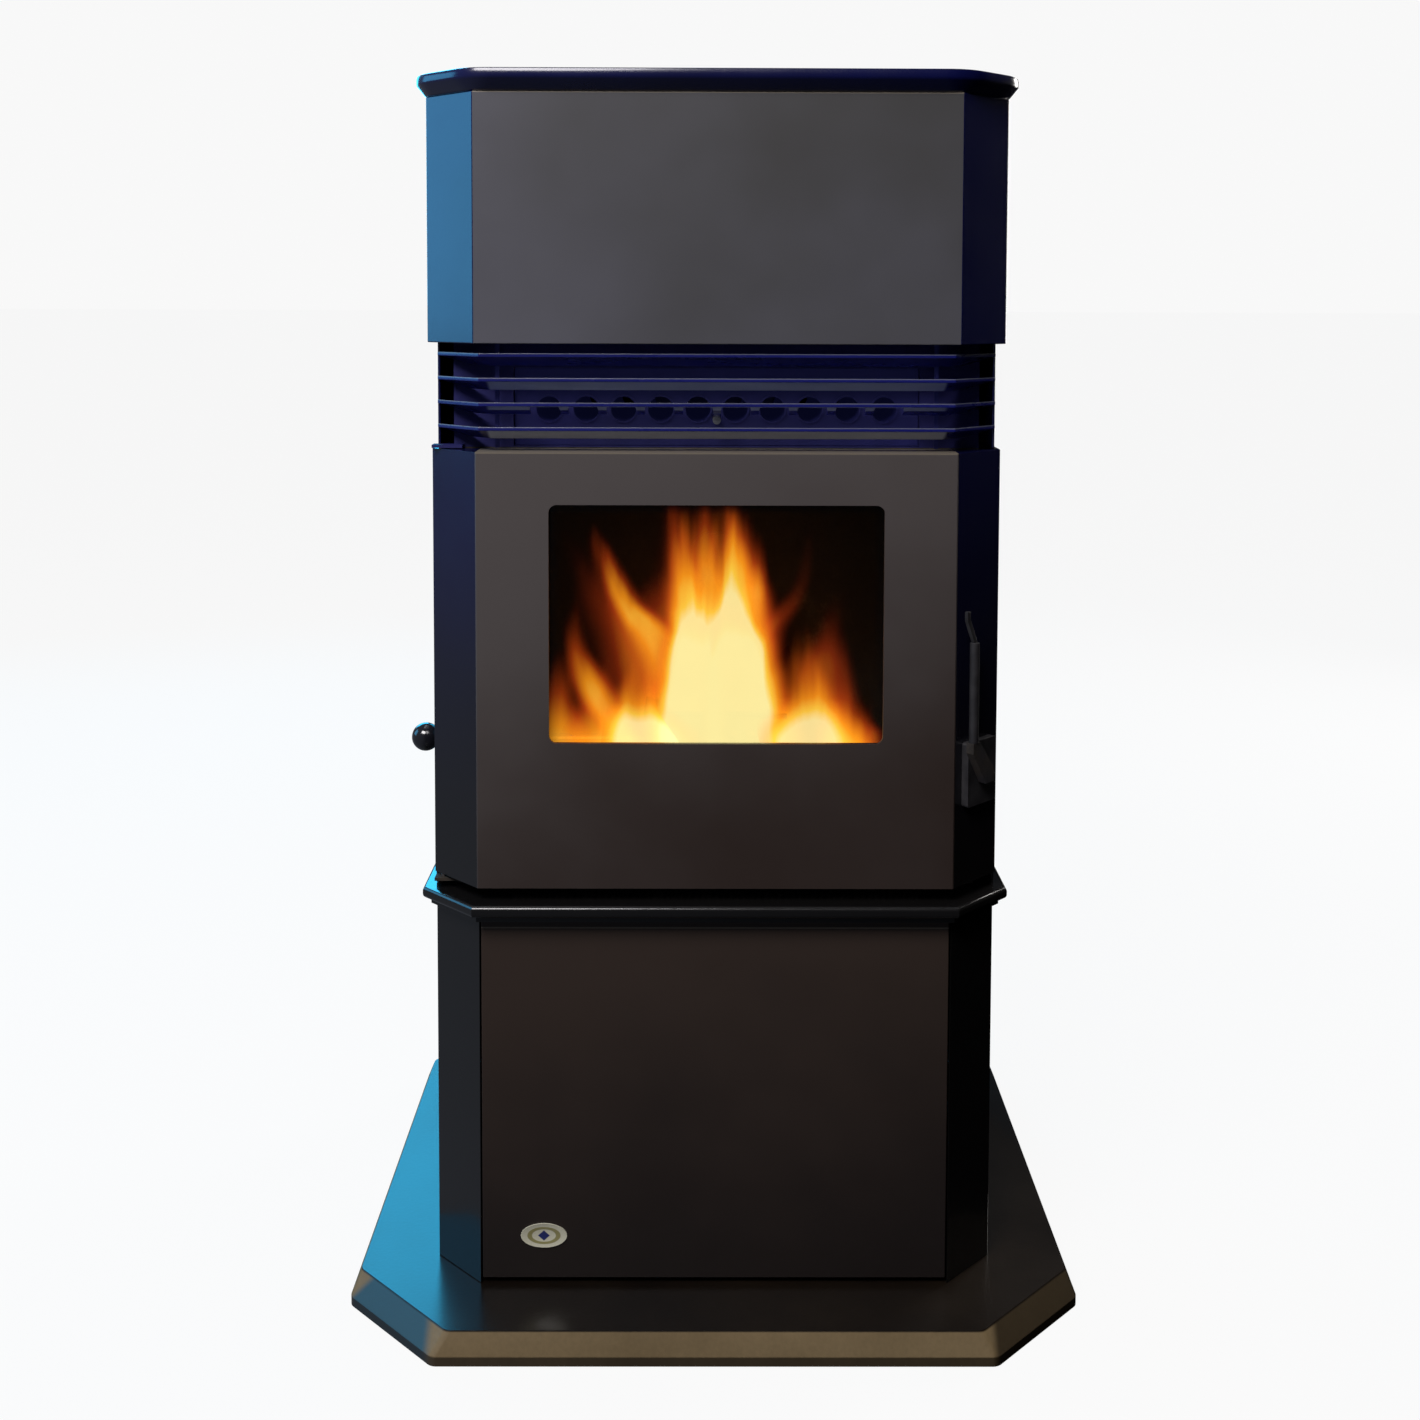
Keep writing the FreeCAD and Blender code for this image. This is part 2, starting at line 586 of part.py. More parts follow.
def auger_screw():
    body = new_body()
    start = "brick_back - brick_thick - 4"
    finish = "throat_back + 20"
    pad(body, "y", start, f"{finish} + 10", disc("0", "0", "auger_shaft"))
    flight = body.newObject("PartDesign::AdditiveHelix", "flight")
    flight.Profile = draw(body, "x", "0", [rect(f"{start} + 4", "auger_shaft - 2",
                                                f"{start} + 4 + auger_sheet", "auger_radius")])
    axle = next(item for item in body.Origin.OriginFeatures if item.Role == "Y_Axis")
    flight.ReferenceAxis = (axle, [""])
    flight.Mode = "pitch-height-angle"
    bind(flight, Pitch="auger_pitch", Height=f"{finish} - ({start}) - 14")
    bind(body, Placement__Base__z="feed_z")
    node(body, "auger_screw")


def auger_motor():
    start = "throat_back + 20.5"
    gears = block("-38", start, "feed_z - 40", "38", f"{start} + 28", "feed_z + 40")
    can = bar("y", "0", f"{start} + 28", "feed_z", "back - 8 - throat_back - 48.5", "30")
    hub = bar("y", "0", start, "feed_z", "12", "auger_shaft + run_gap")
    node(less(join(gears, can), hub), "auger_motor")


def hopper_box(body, grow, top, remove=False):
    """The hopper's straight mouth and its two sloping stages down to the throat."""
    front_y, back_y = "front + 30", "back - 25"
    mouth = rect(f"-hopper_half - {grow}", f"{front_y} - {grow}",
                 f"hopper_half + {grow}", f"{back_y} + {grow}")
    neck = rect(f"-hopper_neck_half - {grow}", f"fire_back + 14 - {grow}", f"hopper_neck_half + {grow}",
                f"{back_y} + {grow}")
    throat = rect(f"-throat_half - {grow}", f"throat_front + 2 - {grow}", f"throat_half + {grow}",
                  f"throat_back - 2 + {grow}")
    bend = "casing_top - hopper_drop"
    neck_z = "fire_top + 8"
    fill = cut if remove else pad
    fill(body, "z", bend, top, mouth)
    slope(body, neck_z, neck, bend, mouth, remove)
    slope(body, "throat_z", throat, neck_z, neck, remove)


def hopper_bin():
    body = new_body()
    hopper_box(body, "hopper_sheet", "top_low")
    pad(body, "z", "top_low - 2", "top_low",
        rect("-hopper_half - 20", "front + 16", "hopper_half + 20", "back - 16"))
    hopper_box(body, "0", "top_low + 1", remove=True)
    node(body, "hopper_bin")


# ---------------------------------------------------------------- fans and flue

def exhaust_housing():
    body = new_body()
    scroll = disc("fan_x", "fan_z", "fan_radius")
    duct = rect("fan_x - fan_radius", "fan_z", "fan_x + 2", "flue_z + flue_radius + 4")
    hollow = disc("fan_x", "fan_z", "fan_radius - fan_wall")
    shaft = rect("fan_x - fan_radius + fan_wall", "fan_z", "fan_x + 2 - fan_wall",
                 "flue_z + flue_radius + 4 - fan_wall")
    pad(body, "y", "fan_front", "fan_back", scroll)
    pad(body, "y", "fan_front", "fan_back", duct)
    pad(body, "y", "fire_back", "fan_front + 1", disc("fan_x", "fan_z", "flue_radius + 8"))
    cut(body, "y", "fan_front + fan_wall", "fan_back - fan_wall", hollow)
    cut(body, "y", "fan_front + fan_wall", "fan_back - fan_wall", shaft)
    cut(body, "y", "fire_back - 1", "fan_front + fan_wall + 1", disc("fan_x", "fan_z", "flue_radius"))
    cut(body, "y", "fan_back - fan_wall - 1", "fan_back + 1",
        disc("flue_x", "flue_z", "flue_radius - flue_wall"), disc("fan_x", "fan_z", "6"))
    node(body, "exhaust_housing")


def wheel(name, hub, blades, depth, shaft_length, outer):
    """A fan wheel: a back plate, a ring of straight blades, a hub and a shaft, along its own Z."""
    body = new_body()
    pad(body, "z", "0", "2", disc("0", "0", outer))
    pad(body, "z", "1", "14", disc("0", "0", hub))
    pad(body, "z", "1", shaft_length, disc("0", "0", "5"))
    pad(body, "z", "1.5", depth, rect(f"{outer} - 14", "-1", f"{outer} - 1", "1"))
    blade = body.Tip
    ring = body.newObject("PartDesign::PolarPattern", "ring")
    ring.Originals = [blade]
    ring.Axis = (next(item for item in body.Origin.OriginFeatures if item.Role == "Z_Axis"), [""])
    ring.Angle = 360
    ring.Occurrences = blades
    body.Tip = ring
    node(body, name)
    return body


def exhaust_impeller():
    body = wheel("exhaust_impeller", "10", 12, "30", "45", "fan_radius - 14")
    body.Placement.Rotation = Rotation(Vector(1, 0, 0), -90)
    bind(body, Placement__Base__x="fan_x", Placement__Base__y="fan_front + fan_wall + 6",
         Placement__Base__z="fan_z")


def exhaust_motor():
    can = bar("y", "fan_x", "fan_back", "fan_z", "70", "fan_motor")
    bore = bar("y", "fan_x", "fan_back - 1", "fan_z", "20", "5 + run_gap")
    node(less(can, bore), "exhaust_motor")


def flue_collar():
    node(stub_pipe("flue_x", "fan_back", "flue_z", "flue_reach", "flue_radius", "flue_radius - flue_wall"),
         "flue_collar")


def blower_housing():
    body = new_body()
    top = "ledge_low"
    duct = rect("blower_y - blower_radius", "blower_z", "blower_y - 2", top)
    shaft = rect("blower_y - blower_radius + fan_wall", "blower_z", "blower_y - 2 - fan_wall", f"{top} + 1")
    pad(body, "x", "blower_left", "blower_right", disc("blower_y", "blower_z", "blower_radius"))
    pad(body, "x", "blower_left", "blower_right", duct)
    cut(body, "x", "blower_left + fan_wall", "blower_right - fan_wall",
        disc("blower_y", "blower_z", "blower_radius - fan_wall"))
    cut(body, "x", "blower_left + fan_wall", "blower_right - fan_wall", shaft)
    cut(body, "x", "blower_left - 1", "blower_left + fan_wall + 1",
        disc("blower_y", "blower_z", "blower_radius - 20"))
    cut(body, "x", "blower_right - fan_wall - 1", "blower_right + 1", disc("blower_y", "blower_z", "6"))
    node(body, "blower_housing")


def blower_impeller():
    body = wheel("blower_impeller", "10", 20, "blower_width - 24", "blower_width + 4", "blower_radius - 10")
    body.Placement.Rotation = Rotation(Vector(0, 1, 0), 90)
    bind(body, Placement__Base__x="blower_left + fan_wall + 8", Placement__Base__y="blower_y",
         Placement__Base__z="blower_z")


def blower_motor():
    can = bar("x", "blower_right", "blower_y", "blower_z", "70", "fan_motor - 4")
    bore = bar("x", "blower_right - 1", "blower_y", "blower_z", "20", "5 + run_gap")
    node(less(can, bore), "blower_motor")


# ---------------------------------------------------------------- casing

def side_panel(name, sign):
    body = new_body()
    outer, inner = f"{sign} * side", f"{sign} * (side - sheet)"
    low, high = (outer, inner) if sign == "-1" else (inner, outer)
    pad(body, "x", low, high, rect("door_back + 6", "ledge_top + 0.5", "back", "door_top"))
    if sign == "-1":
        hole = disc("pot_mid", "rod_z", "rod_radius + slide_gap")
    else:
        hole = disc("knob_y", "knob_z", "3.4")
        cut(body, "x", f"{low} - 1", f"{high} + 1", disc("knob_y", "button_z", "button_radius + slide_gap"))
    cut(body, "x", f"{low} - 1", f"{high} + 1", hole)
    node(body, name)


def louvre_sides():
    wide = "side - louvre_inset"
    start = "front + louvre_return + 2"
    left = block(f"-({wide})", start, "door_top + 0.5", f"-({wide}) + sheet", "back", "casing_low")
    right = block(f"{wide} - sheet", start, "door_top + 0.5", wide, "back", "casing_low")
    node(join(left, right), "louvre_sides")


def louvre_blade(number):
    """A blade with an upright lip and a face that slopes down and back, wrapped round both cheeks."""
    body = new_body()
    top = f"door_top + louvre_first + {number - 1} * louvre_pitch"
    end = "front + louvre_return + 60"
    high, low = f"{top} - louvre_lip + 0.5", f"{top} - louvre_lip - louvre_drop"

    def ring(inset, stop):
        return plan("front", f"-louvre_inset - ({inset})", stop)
    pad(body, "z", f"{top} - louvre_lip", top, ring("0", end))
    slope(body, low, ring("louvre_slope", f"{end} - 1"), high, ring("0", end))
    cut(body, "z", f"{top} - louvre_lip", f"{top} + 1", ring("louvre_sheet", f"{end} + 1"))
    slope(body, low, ring("louvre_slope + louvre_sheet * 2", f"{end} + 1"), high,
          ring("louvre_sheet * 2", f"{end} + 2"), remove=True)
    cut(body, "z", f"{low} - 1", f"{top} + 1",
        rect("-side", "front + louvre_return", "side", f"{end} + 5"))
    if number == 2:
        cut(body, "y", "front + louvre_inset + 3", "front + louvre_inset + louvre_slope + 8",
            *tube_discs("tube_outer + 0.6"))
    node(body, f"louvre_blade_{number}")


def louvre_posts():
    low_y = "front + louvre_inset + louvre_slope + louvre_sheet * 2"
    posts = [block(f"{sign} * (flat - post_inset) - post_width / 2", low_y, "door_top + 2",
                   f"{sign} * (flat - post_inset) + post_width / 2", f"{low_y} + 3", "casing_low")
             for sign in (-1, 1)]
    node(join(*posts), "louvre_posts")


def upper_casing():
    body = new_body()
    pad(body, "z", "casing_low", "casing_top", plan("front", "casing_grow", "back"))
    cut(body, "z", "casing_low + casing_sheet", "casing_top + 1",
        plan("front", "casing_grow - casing_sheet", "back + 5"))
    cut(body, "z", "casing_low - 1", "casing_low + casing_sheet + 1",
        plan("front", "-louvre_inset - louvre_slope - 6", "back + 5"))
    node(body, "upper_casing")


def top_rim():
    body = new_body()
    shelf = "rim_top - rim_band"
    low = plan("front", "casing_grow", "back + 1")
    high = plan("front", "casing_grow + rim_flare", "back + rim_flare")
    slope(body, "casing_top", low, shelf, high)
    pad(body, "z", f"{shelf} - 0.01", "rim_top", high)
    top = sum(sheet.get(name) for name in ("base_thick", "pedestal_height", "ledge_thick", "door_gap",
                                           "door_height", "louvre_zone", "casing_height", "rim_height"))
    round_off(body, "rim_round", lambda edge: at_level(edge, top))
    cut(body, "z", "casing_top - 1", "rim_top + 1",
        plan("front", "casing_grow - rim_width", "back - rim_width"))
    node(body, "top_rim")


def top_plate():
    body = new_body()
    pad(body, "z", "top_low", "top_high",
        plan("front", "casing_grow - rim_width - 0.5", "back - rim_width - 0.5"))
    for sign in ("-1", "1"):
        for step in ("125", "181"):
            pad(body, "x", f"{sign} * {step} - 3", f"{sign} * {step} + 3",
                rect("lid_hinge_y - 5", "top_high - 0.5", "lid_hinge_y + 5", "lid_hinge_z + 5"))
    cut(body, "x", "-200", "200", disc("lid_hinge_y", "lid_hinge_z", "pin_radius"))
    cut(body, "z", "top_low - 1", "top_high + 1",
        rect("-hopper_half + 2", "front + 40", "hopper_half - 2", "back - 50"))
    node(body, "top_plate")


def lid_hinge_pin():
    node(bar("x", "-190", "lid_hinge_y", "lid_hinge_z", "380", "pin_radius"), "lid_hinge_pin")


def hopper_lid():
    body = new_body()
    outer = rect("-hopper_half - 12", "front + 30", "hopper_half + 12", "lid_hinge_y - 10")
    pad(body, "z", "lid_low", "lid_low + lid_thick", outer)
    for sign in ("-1", "1"):
        low, high = f"{sign} * 153 - 24", f"{sign} * 153 + 24"
        pad(body, "x", low, high, disc("lid_hinge_y", "lid_hinge_z", "6"))
        pad(body, "x", low, high,
            rect("lid_hinge_y - 12", "lid_hinge_z - 5", "lid_hinge_y - 2", "lid_hinge_z - 1.5"))
    cut(body, "z", "lid_low - 1", "lid_low + lid_thick - lid_sheet",
        rect("-hopper_half - 10", "front + 32", "hopper_half + 10", "lid_hinge_y - 12.5"))
    cut(body, "x", "-200", "200", disc("lid_hinge_y", "lid_hinge_z", "pin_radius + run_gap"))
    node(body, "hopper_lid")


def rear_cover():
    body = new_body()
    pad(body, "y", "back + 0.2", "back + 2.2", rect("-side", "ledge_top + 1", "side", "casing_top - 2"))
    vents = [rect(f"-190 + {i} * 28", "door_top + 5", f"-178 + {i} * 28", "door_top + 62") for i in range(14)]
    cut(body, "y", "back - 1", "back + 3", disc("flue_x", "flue_z", "flue_radius + pipe_room"),
        disc("0", "intake_z", "intake_radius + pipe_room"),
        rect("176", "ledge_top + 40", "224", "ledge_top + 68"), *vents)
    node(body, "rear_cover")


def power_inlet():
    body = new_body()
    pad(body, "y", "back - 22", "back + 0.2", rect("176.5", "ledge_top + 40.5", "223.5", "ledge_top + 67.5"))
    pad(body, "y", "back + 2.2", "back + 4.2", rect("172", "ledge_top + 36", "228", "ledge_top + 72"))
    pad(body, "y", "back", "back + 2.4", rect("176.5", "ledge_top + 40.5", "223.5", "ledge_top + 67.5"))
    cut(body, "y", "back - 14", "back + 5", rect("187", "ledge_top + 45", "213", "ledge_top + 63"))
    for x in ("193", "200", "207"):
        pad(body, "y", "back - 15", "back", disc(x, "ledge_top + 54", "1.8"))
    node(body, "power_inlet")


def cover_screws():
    spots = [(f"{sign} * (side - 14)", f"ledge_top + 40 + {i} * 240") for sign in (-1, 1) for i in range(4)]
    heads = [bar("y", x, "back + 2.2", z, "3", "4.5") for x, z in spots]
    node(join(*heads), "cover_screws")


# ---------------------------------------------------------------- controls

def control_box():
    box = block("side - 62", "knob_y - 50", "knob_z - 110", "side - 18", "knob_y + 50", "knob_z + 40")
    node(box, "control_box")


def heat_knob():
    cap = bar("x", "side + 0.6", "knob_y", "knob_z", "knob_height", "knob_radius")
    stem = bar("x", "side - 16", "knob_y", "knob_z", "18", "3")
    mark = block("side + knob_height - 1", "knob_y - 1.5", "knob_z + 4", "side + knob_height + 1.4",
                 "knob_y + 1.5", "knob_z + knob_radius - 1")
    node(join(cap, stem, mark), "heat_knob")


def power_button():
    reach = "12 + button_travel + 1.5"
    node(bar("x", "side - 12", "knob_y", "button_z", reach, "button_radius"), "power_button")


# ---------------------------------------------------------------- bay door

def bay_hollow(stop):
    """Outline of the bay's inside from above, from its front wall back to a level."""
    face = "flat - door_wall * (sqrt(2) - 1)"
    wide = f"{face} + {stop} - front - door_wall"
    inner = "front + door_wall"
    return [(f"-({wide})", stop), (f"-({face})", inner), (face, inner), (wide, stop)]


def window_outline(lap):
    return rect(f"-window_width / 2 - ({lap})", f"window_bottom - ({lap})", f"window_width / 2 + ({lap})",
                f"window_top + {lap}")


def window_corner(edge):
    """Whether an edge is one of the window's four corners, which run through the door's front wall."""
    box = edge.BoundBox
    back = sheet.get("front_overhang") - sheet.get("base_depth") / 2 + sheet.get("door_wall") + 1
    through = box.YLength > 1 and box.XLength < 0.01 and box.YMax < back
    return through and abs(abs(box.XMin) - sheet.get("window_width") / 2) < 0.01


def door_shell():
    body = new_body()
    pad(body, "z", "door_low", "door_top", plan("front", "0", "door_back + 0.5"))
    cut(body, "z", "door_low + door_wall", "door_top - door_wall", bay_hollow("door_back - 5"))
    cut(body, "y", "door_back - 6", "door_back + 1",
        rect("-opening_width / 2", "ledge_top + opening_low", "opening_width / 2", "door_top - opening_high"))
    cut(body, "y", "door_back - 6", "door_back + 1", rect("226", "latch_z - 30", "268", "latch_z + 14"))
    cut(body, "y", "front - 1", "front + door_wall + 1", window_outline("0"))
    round_off(body, "window_round", window_corner)
    cut(body, "z", "door_low - 1", "door_top + 1", disc("hinge_x", "hinge_y", "pin_radius"))
    bore = body.newObject("PartDesign::SubtractiveCylinder", "bore")
    bore.Placement.Rotation = Rotation(Vector(0, 0, 1), Vector(1, -1, 0))
    bind(bore, Radius="shaft_radius + run_gap", Height="20", Placement__Base__x="side - corner_cut / 2 - 8",
         Placement__Base__y="front + corner_cut / 2 + 8", Placement__Base__z="latch_z")
    CUTS.append(bore)
    node(body, "door_shell")


def frame_ring(name, low, high, inner, outer):
    body = new_body()
    pad(body, "y", low, high, window_outline(outer))
    cut(body, "y", f"{low} - 1", f"{high} + 1", window_outline(inner))
    node(body, name)


def door_glass():
    body = new_body()
    pad(body, "y", "glass_front", "glass_back", window_outline("glass_lap"))
    node(body, "door_glass")


def door_rope():
    body = new_body()
    ring = rect("-opening_width / 2 - rope_width - 2", "ledge_top + opening_low - rope_width - 2",
                "opening_width / 2 + rope_width + 2", "door_top - opening_high + rope_width")
    hole = rect("-opening_width / 2 - 2", "ledge_top + opening_low - 2", "opening_width / 2 + 2",
                "door_top - opening_high + 1")
    pad(body, "y", "door_back + 0.5", "fire_front", ring)
    cut(body, "y", "door_back - 1", "fire_front + 1", hole)
    node(body, "door_rope")


def hinge_pins():
    low = bar("z", "hinge_x", "hinge_y", "door_low - 6", "6 + door_wall", "pin_radius")
    high = bar("z", "hinge_x", "hinge_y", "door_top - door_wall", "4 + door_wall", "pin_radius")
    node(join(low, high), "hinge_pins")


# ---------------------------------------------------------------- door latch

def on_cheek(body):
    """Place a body whose own axes are along the cheek (X), up (Y) and out of the cheek (Z)."""
    body.Placement.Rotation = Rotation(Vector(1, 1, 0), Vector(0, 0, 1), Vector(1, -1, 0), "XYZ")
    bind(body, Placement__Base__x="side - corner_cut / 2", Placement__Base__y="front + corner_cut / 2",
         Placement__Base__z="latch_z")


def latch_block():
    body = new_body()
    pad(body, "z", "0", "latch_thick",
        rect("-latch_width / 2", "-latch_height / 2", "latch_width / 2", "latch_height / 2"))
    round_off(body, "3", lambda edge: abs(edge.BoundBox.ZLength - edge.Length) < 0.01)
    cut(body, "z", "-1", "latch_thick + 1", disc("0", "0", "shaft_radius + run_gap"))
    on_cheek(body)
    node(body, "latch_block")


def latch_shaft():
    body = new_body()
    pad(body, "z", "-18", "latch_thick + 4", disc("0", "0", "shaft_radius"))
    pad(body, "z", "-18", "-14", rect("-5", "-18", "5", "0"))
    pad(body, "z", "latch_thick + 0.5", "latch_thick + 9",
        [("-6", "-9"), ("8", "-9"), ("8", "4"), ("-16", "34"), ("-27", "34"), ("-27", "24")])
    on_cheek(body)
    node(body, "latch_shaft")


def latch_handle():
    """A round upright grip whose tip is a flat bar that leans towards the door's front."""
    body = new_body()
    start = "latch_height / 2 + 2"
    finish = f"{start} + grip_length"
    pad(body, "y", start, finish, disc("-grip_offset", "latch_thick + 5", "grip_radius"))
    left, right = "-grip_offset - 2.5", "-grip_offset + 2.5"
    pad(body, "z", "latch_thick + 3", "latch_thick + 7",
        [(right, f"{finish} - 6"), (right, finish),
         (f"{right} - tip_reach", f"{finish} + tip_rise - 8"),
         (f"{right} - tip_reach", f"{finish} + tip_rise"),
         (f"{left} - tip_reach", f"{finish} + tip_rise"),
         (f"{left} - tip_reach", f"{finish} + tip_rise - 9"),
         (left, f"{finish} - 1"), (left, f"{finish} - 6")])
    on_cheek(body)
    node(body, "latch_handle")


def door_catch():
    stem = block("230", "front + 26", "latch_z - 21", "234", "fire_front", "latch_z - 9")
    head = block("230", "front + 26", "latch_z - 21", "246", "front + 30", "latch_z - 9")
    node(join(stem, head), "door_catch")


def build():
    hearth_plate()
    pedestal_shell()
    pedestal_back()
    ledge_plate()
    drawer_front()
    ash_pan()
    badge()
    firebox_shell()
    tube_plate()
    heat_tubes()
    tube_scraper()
    back_brick()
    side_bricks()
    baffle_plate()
    burn_pot()
    pot_base()
    grate_slide()
    grate_knob()
    air_intake()
    igniter()
    feed_tube()
    auger_screw()
    auger_motor()
    hopper_bin()
    exhaust_housing()
    exhaust_impeller()
    exhaust_motor()
    flue_collar()
    blower_housing()
    blower_impeller()
    blower_motor()
    side_panel("side_panel_left", "-1")
    side_panel("side_panel_right", "1")
    louvre_sides()
    for number in (1, 2, 3, 4):
        louvre_blade(number)
    louvre_posts()
    upper_casing()
    top_rim()
    top_plate()
    lid_hinge_pin()
    hopper_lid()
    rear_cover()
    power_inlet()
    cover_screws()
    control_box()
    heat_knob()
    power_button()
    door_shell()
    frame_ring("glass_gasket", "front + door_wall", "glass_front", "1", "glass_lap")
    door_glass()
    frame_ring("glass_retainer", "glass_back", "glass_back + 3", "2", "glass_lap + 4")
    door_rope()
    hinge_pins()
    latch_block()
    latch_shaft()
    latch_handle()
    door_catch()


def check():
    """Stop if any feature failed, any cut removed nothing or any piece isn't a valid solid."""
    for obj in doc.Objects:
        if "Invalid" in obj.State or "Error" in obj.State:
            raise RuntimeError(f"{obj.Name} ({obj.Label}) failed: {obj.State}")
    for feature in CUTS:
        if feature.Shape.Volume > feature.BaseFeature.Shape.Volume - 1:
            raise RuntimeError(f"{feature.Name} removes nothing")
    for label, obj in NODES.items():
        if obj.Shape.isNull() or not obj.Shape.isValid() or obj.Shape.Volume <= 0:
            raise RuntimeError(f"{label} has no valid shape")


build()
doc.recompute()
check()
os.makedirs("parts", exist_ok=True)
for label, obj in NODES.items():
    obj.Shape.exportStep(f"parts/{label}.step")
print(len(NODES), "pieces written")
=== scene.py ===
import bpy
import json
import math
import random
from mathutils import Matrix, Vector


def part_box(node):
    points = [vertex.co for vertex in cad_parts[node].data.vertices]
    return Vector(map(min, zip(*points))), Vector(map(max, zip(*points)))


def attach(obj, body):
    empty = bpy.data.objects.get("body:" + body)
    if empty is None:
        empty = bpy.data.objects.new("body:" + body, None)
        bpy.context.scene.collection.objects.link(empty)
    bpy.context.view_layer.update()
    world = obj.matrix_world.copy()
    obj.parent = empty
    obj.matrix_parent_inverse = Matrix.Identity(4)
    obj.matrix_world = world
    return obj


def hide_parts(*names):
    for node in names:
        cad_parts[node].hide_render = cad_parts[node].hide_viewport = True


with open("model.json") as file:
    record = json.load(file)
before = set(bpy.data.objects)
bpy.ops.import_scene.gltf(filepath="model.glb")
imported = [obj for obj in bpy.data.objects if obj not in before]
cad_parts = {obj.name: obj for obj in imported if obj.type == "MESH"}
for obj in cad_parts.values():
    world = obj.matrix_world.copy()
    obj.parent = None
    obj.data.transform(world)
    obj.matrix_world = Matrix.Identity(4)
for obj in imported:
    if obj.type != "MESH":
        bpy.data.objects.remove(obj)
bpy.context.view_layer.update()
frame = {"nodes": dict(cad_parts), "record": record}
scene = bpy.context.scene
nodes = frame["nodes"]
slots = {part["node"]: part["material_slot"] for part in frame["record"]["subparts"]}
bodies = {name: body for body, names in frame["record"]["behaviour"]["bodies"].items() for name in names}

# Places that many pieces share, read from the frame, in metres.
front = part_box("door_shell")[0].y
window_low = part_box("glass_gasket")[0].z + 0.010
window_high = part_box("glass_gasket")[1].z - 0.010
cheek = 0.0495
body_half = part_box("door_shell")[1].x
flat_half = body_half - cheek


# ---------------------------------------------------------------- shader sums

class Value:
    """A shader socket that takes part in sums: every sum adds its Math node."""

    def __init__(self, tree, socket):
        self.tree = tree
        self.socket = socket

    def sum(self, operation, *terms):
        node = self.tree.nodes.new("ShaderNodeMath")
        node.operation = operation
        for place, term in zip(node.inputs, terms):
            if isinstance(term, Value):
                self.tree.links.new(term.socket, place)
            else:
                place.default_value = term
        return Value(self.tree, node.outputs[0])

    def __add__(self, other):
        return self.sum("ADD", self, other)

    def __radd__(self, other):
        return self.sum("ADD", other, self)

    def __sub__(self, other):
        return self.sum("SUBTRACT", self, other)

    def __rsub__(self, other):
        return self.sum("SUBTRACT", other, self)

    def __mul__(self, other):
        return self.sum("MULTIPLY", self, other)

    def __rmul__(self, other):
        return self.sum("MULTIPLY", other, self)

    def __pow__(self, other):
        return self.sum("POWER", self, other)

    def over(self, level):
        return self.sum("GREATER_THAN", self, level)

    def size(self):
        return self.sum("ABSOLUTE", self)

    def ramp(self, low, high):
        """0 below low, 1 above high and a smooth rise between them."""
        node = self.tree.nodes.new("ShaderNodeMapRange")
        node.interpolation_type = "SMOOTHSTEP"
        self.tree.links.new(self.socket, node.inputs[0])
        node.inputs[1].default_value = low
        node.inputs[2].default_value = high
        return Value(self.tree, node.outputs[0])


class Finish:
    """One material: its nodes, its shader, and one method that adds any other node."""

    def __init__(self, name, **constants):
        self.material = bpy.data.materials.new(name)
        self.material.use_nodes = True
        self.tree = self.material.node_tree
        self.shader = self.tree.nodes["Principled BSDF"]
        for socket, value in constants.items():
            self.shader.inputs[socket.replace("_", " ")].default_value = value
        self.place = self.add("ShaderNodeTexCoord", output="Object")

    def add(self, kind, settings=None, sockets=None, output=0):
        node = self.tree.nodes.new(kind)
        for key, value in (settings or {}).items():
            if key == "stops":
                self.fill_ramp(node.color_ramp, value)
            else:
                setattr(node, key, value)
        for key, value in (sockets or {}).items():
            if isinstance(value, Value):
                self.tree.links.new(value.socket, node.inputs[key])
            else:
                node.inputs[key].default_value = value
        return Value(self.tree, node.outputs[output])

    def fill_ramp(self, ramp, stops):
        while len(ramp.elements) < len(stops):
            ramp.elements.new(0.5)
        for element, (position, colour) in zip(ramp.elements, stops):
            element.position = position
            element.color = (*colour, 1)

    def noise(self, scale, detail=3.0, rough=0.5, place=None):
        return self.add("ShaderNodeTexNoise", None, {"Vector": place or self.place, "Scale": scale,
                                                     "Detail": detail, "Roughness": rough})

    def axes(self, place=None):
        """The X, Y and Z of a place, as three values."""
        node = self.tree.nodes.new("ShaderNodeSeparateXYZ")
        self.tree.links.new((place or self.place).socket, node.inputs[0])
        return [Value(self.tree, output) for output in node.outputs]

    def stretch(self, scale):
        return self.add("ShaderNodeMapping", None, {"Vector": self.place, "Scale": scale})

    def blend(self, share, first, second):
        first = (*first, 1) if isinstance(first, tuple) else first
        second = (*second, 1) if isinstance(second, tuple) else second
        return self.add("ShaderNodeMix", {"data_type": "RGBA"}, {0: share, 6: first, 7: second}, 2)

    def feed(self, **sockets):
        for socket, value in sockets.items():
            self.tree.links.new(value.socket, self.shader.inputs[socket.replace("_", " ")])
        return self

    def relief(self, height, strength, distance):
        bump = self.add("ShaderNodeBump", None,
                        {"Height": height, "Strength": strength, "Distance": distance})
        return self.feed(Normal=bump)


# ---------------------------------------------------------------- finishes

NAVY = (0.005, 0.007, 0.075)
DEEP_NAVY = (0.003, 0.004, 0.040)
NEAR_BLACK = (0.007, 0.0065, 0.0065)
WARM_BLACK = (0.020, 0.015, 0.013)


def painted_blue_sheen_by_height(finish):
    """Painted shade and sheen by height: 0 at the foot of the stove, where its enamel is painted near-black
    as shade, to 1 at the top, where it is painted blue as a sheen.
    """
    x, y, z = finish.axes()
    return z.ramp(0.43, 1.05)


